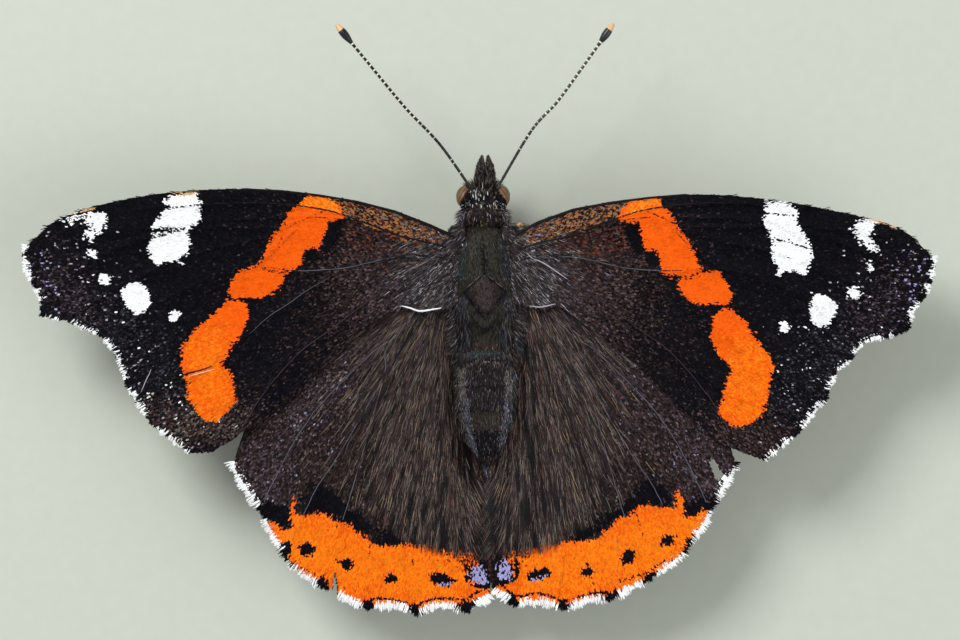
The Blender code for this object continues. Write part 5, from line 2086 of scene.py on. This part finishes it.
@dataclass(frozen=True)
class Leg:
    """A leg: thigh, shin and jointed foot with two claws, dusted with scales."""

    node: str
    side: Side
    joints: Triples
    thickness: tuple[float, float, float] = (0.25, 0.17, 0.12)
    foot_joints: int = 5
    corner: float = 0.5
    knee: float = 0.55
    scales: int = 700
    claw: float = 0.28

    def build(self) -> None:
        """Make the leg, its claws and its scales."""
        rng = np.random.default_rng(SEED + 60 + len(self.node) * 7 + self.side.value)
        knots = to_world(self.side, np.array(self.joints)) / MM
        path, radii = [knots[0]], [self.thickness[0] * 1.1]
        for at in (1, 2, 3, 4)[:len(knots) - 2]:
            corner = knots[at]
            radius = self.thickness[min(at, 3) - 1]
            before = corner + unit(knots[at - 1] - corner) * self.corner
            after = corner + unit(knots[at + 1] - corner) * self.corner
            for t in (0.0, 0.25, 0.5, 0.75, 1.0):
                path.append((before * (1 - t) + corner * t) * (1 - t) + (corner * (1 - t) + after * t) * t)
                radii.append(radius)
        path.append(knots[-1])
        radii.append(self.thickness[2])
        path = np.array(path)
        gone = lengths(path)
        fine = np.linspace(0.0, gone[-1], 120)
        path = along_path(fine, gone, path)
        radii = np.interp(fine, gone, radii)
        foot = np.linalg.norm(knots[-1] - knots[-2])
        toe = np.clip((fine - (gone[-1] - foot)) / foot, 0.0, 1.0)
        joint = np.abs((toe * self.foot_joints + 0.5) % 1.0 - 0.5)
        radii *= 1.0 - 0.22 * np.exp(-(joint / 0.1) ** 2) * (toe > 0)
        path[:, 2] = np.maximum(path[:, 2], radii + 0.005)
        marks = np.where(toe > 0, Pigment.LEG.mark, Pigment.FAWN.mark)
        # The leg's middle joint is painted buff: a painted highlight over its tan.
        knee = np.linalg.norm(path - knots[2], axis=1) < self.knee
        marks[knee] = Pigment.BUFF.mark
        limb = Strand(self.node + "_limb", self.node, path, radii, marks[:-1], (0.15, 0.3, 1.0))
        limb.build(POLISHED, rng)
        limb.dress(self.node + "_scales", self.scales, (0.14, 0.3), 0.12,
                   "FAWN 0.4 BUFF 0.14 STONE 0.26 UMBER 0.2", rng)
        self.claws(path)

    def claws(self, path: Array) -> None:
        """The two hooked claws at the toe."""
        along = unit(path[-1] - path[-4])
        aside = unit(np.cross(along, UP))
        rng = np.random.default_rng(SEED)
        hooks = []
        for way in (1, -1):
            t = np.linspace(0.0, 1.0, 7)[:, None]
            hook = path[-1] + along * self.claw * t + aside * way * 0.09 * np.sin(t * 2.2)
            hook = hook - np.array(UP) * 0.06 * t**2
            hook[:, 2] = np.maximum(hook[:, 2], 0.02)
            hooks.append(thread(hook, np.linspace(0.032, 0.012, 7), Pigment.RUSSET, rng))
        add_piece(join_meshes(self.node + "_claws", hooks), POLISHED, [self.node])


@dataclass(frozen=True)
class Tongue:
    """The coiled proboscis under the head, ringed like a watch spring."""

    centre: tuple[float, float, float] = (0.0, -9.3, 3.65)
    outer: float = 0.98
    inner: float = 0.2
    turns: float = 2.2
    thickness: float = 0.11
    steps: int = 190

    def build(self) -> None:
        """Make the coil, and the base that joins it to the face."""
        rng = np.random.default_rng(SEED + 80)
        share = np.linspace(0.0, 1.0, self.steps)
        radius = self.outer + (self.inner - self.outer) * share
        angle = math.radians(60) + 2 * math.pi * self.turns * share
        coil = np.column_stack((share * 0, self.centre[1] - radius * np.cos(angle),
                                self.centre[2] + radius * np.sin(angle)))
        base = np.array(((0.0, -9.1, 5.3), (0.0, -9.45, 4.95)))
        coil = np.concatenate((base, coil))
        path = smooth_path(yawed(to_world(Side.LEFT, coil)) / MM, 260)
        radii = np.linspace(self.thickness, 0.6 * self.thickness, len(path))
        radii *= 1.0 + 0.08 * (np.arange(len(path)) % 3 == 0)
        marks = np.where(np.arange(len(path) - 1) % 3 == 0, Pigment.UMBER.mark, Pigment.TONGUE.mark)
        Strand("proboscis_coil", "proboscis", path, radii, marks, (1.0, 0.0, 0.0)).build(POLISHED, rng)


LEFT_ANTENNA = ((0.85, -9.3, 7.0), (3.2, -12.6, 7.9), (5.65, -15.2, 8.2), (8.15, -18.2, 8.4),
                (10.5, -21.05, 8.5))
RIGHT_ANTENNA = ((0.85, -9.5, 7.0), (3.3, -13.6, 7.9), (5.1, -15.6, 8.2), (6.8, -17.9, 8.4),
                 (9.07, -21.1, 8.5))
FORELEG = ((0.9, -7.2, 4.6), (0.95, -7.3, 3.75), (1.45, -8.2, 3.0), (0.8, -9.6, 2.7),
           (0.5, -10.3, 3.1))
LEFT_MIDLEG = ((1.0, -4.2, 3.9), (1.2, -4.4, 2.95), (3.6, -5.6, 4.6), (5.7, -6.2, 0.13),
               (7.9, -7.1, 0.13))
RIGHT_MIDLEG = ((1.0, -4.5, 3.9), (1.25, -4.7, 2.9), (2.35, -7.0, 5.5), (5.1, -6.4, 0.13),
                (7.4, -7.0, 0.13))
HINDLEG = ((1.0, -0.9, 3.9), (1.2, -0.7, 3.0), (3.5, 1.9, 4.3), (4.7, 6.0, 0.13),
           (5.4, 9.4, 0.13))


def make_limbs() -> None:
    """Build the eyes, feelers, palps, legs and tongue."""
    for side, feeler, midleg in ((Side.LEFT, LEFT_ANTENNA, LEFT_MIDLEG),
                                 (Side.RIGHT, RIGHT_ANTENNA, RIGHT_MIDLEG)):
        Eye(Ball(side, (1.32, -8.95, 6.3), (0.62, 0.8, 0.98))).build()
        Shoulder(side).build()
        Antenna(side, feeler).build()
        Palp(side).build()
        Leg("foreleg_" + side.word, side, FORELEG, (0.2, 0.15, 0.11)).build()
        Leg("midleg_" + side.word, side, midleg).build()
        Leg("hindleg_" + side.word, side, HINDLEG).build()
    Tongue().build()


@dataclass
class Studio:
    """A sheet of pale paper, soft lights and the camera, looking straight down as in the photo."""

    floor_side: float = 900.0
    distance: float = 350.0
    wing_height: float = 7.5
    sensor: float = 36.0
    frame_centre: tuple[float, float] = (-0.07, -0.107)
    key_power: float = 1.3
    fill_power: float = 0.5
    world_strength: float = 0.45

    def floor(self) -> None:
        """The paper that the butterfly stands on."""
        half = self.floor_side / 2 * MM
        corners = np.array(((-half, -half, 0), (half, -half, 0), (half, half, 0), (-half, half, 0)))
        mesh = make_mesh("paper_floor", corners, np.array(((0, 1, 2, 3),)))
        paper = bpy.data.objects.new("paper_floor", mesh)
        bpy.context.scene.collection.objects.link(paper)
        mesh.materials.append(PaperFinish().material())

    def light(self, name: str, place: Sequence[float], size: float, power: float) -> None:
        """One square soft box aimed at the thorax.

        Args:
            name: The light's name.
            place: Its position in millimetres.
            size: Its side in millimetres.
            power: Its power in watts.
        """
        data = bpy.data.lights.new(name, "AREA")
        data.size = size * MM
        data.energy = power
        lamp = bpy.data.objects.new(name, data)
        lamp.location = Vector(place) * MM
        lamp.rotation_euler = (-Vector(place)).to_track_quat("-Z", "Y").to_euler()
        bpy.context.scene.collection.objects.link(lamp)

    def camera(self) -> None:
        """A long lens over the middle of the wings, turned so that the head points up."""
        data = bpy.data.cameras.new("camera")
        data.sensor_width = self.sensor
        data.lens = self.sensor * self.distance / (PHOTO_WIDTH / PHOTO_SCALE)
        camera = bpy.data.objects.new("camera", data)
        camera.location = Vector((*self.frame_centre, self.distance + self.wing_height)) * MM
        camera.rotation_euler = (0.0, 0.0, math.pi)
        bpy.context.scene.collection.objects.link(camera)
        bpy.context.scene.camera = camera

    def build(self) -> None:
        """Set the whole stage."""
        self.floor()
        self.light("key_box", (180.0, -200.0, 320.0), 160.0, self.key_power)
        self.light("fill_box", (-260.0, 120.0, 260.0), 260.0, self.fill_power)
        self.camera()
        world = bpy.data.worlds.new("studio")
        world.use_nodes = True
        back = world.node_tree.nodes["Background"]
        back.inputs["Color"].default_value = linear("#F4F6F8")
        back.inputs["Strength"].default_value = self.world_strength
        bpy.context.scene.world = world
        bpy.context.scene.view_settings.view_transform = "Standard"


def main() -> None:
    """Build the butterfly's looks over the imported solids."""
    logging.basicConfig(level=logging.INFO, format="%(message)s")
    Studio().build()
    Trunk().build()
    make_limbs()
    make_wings()


if __name__ == "__main__":
    main()
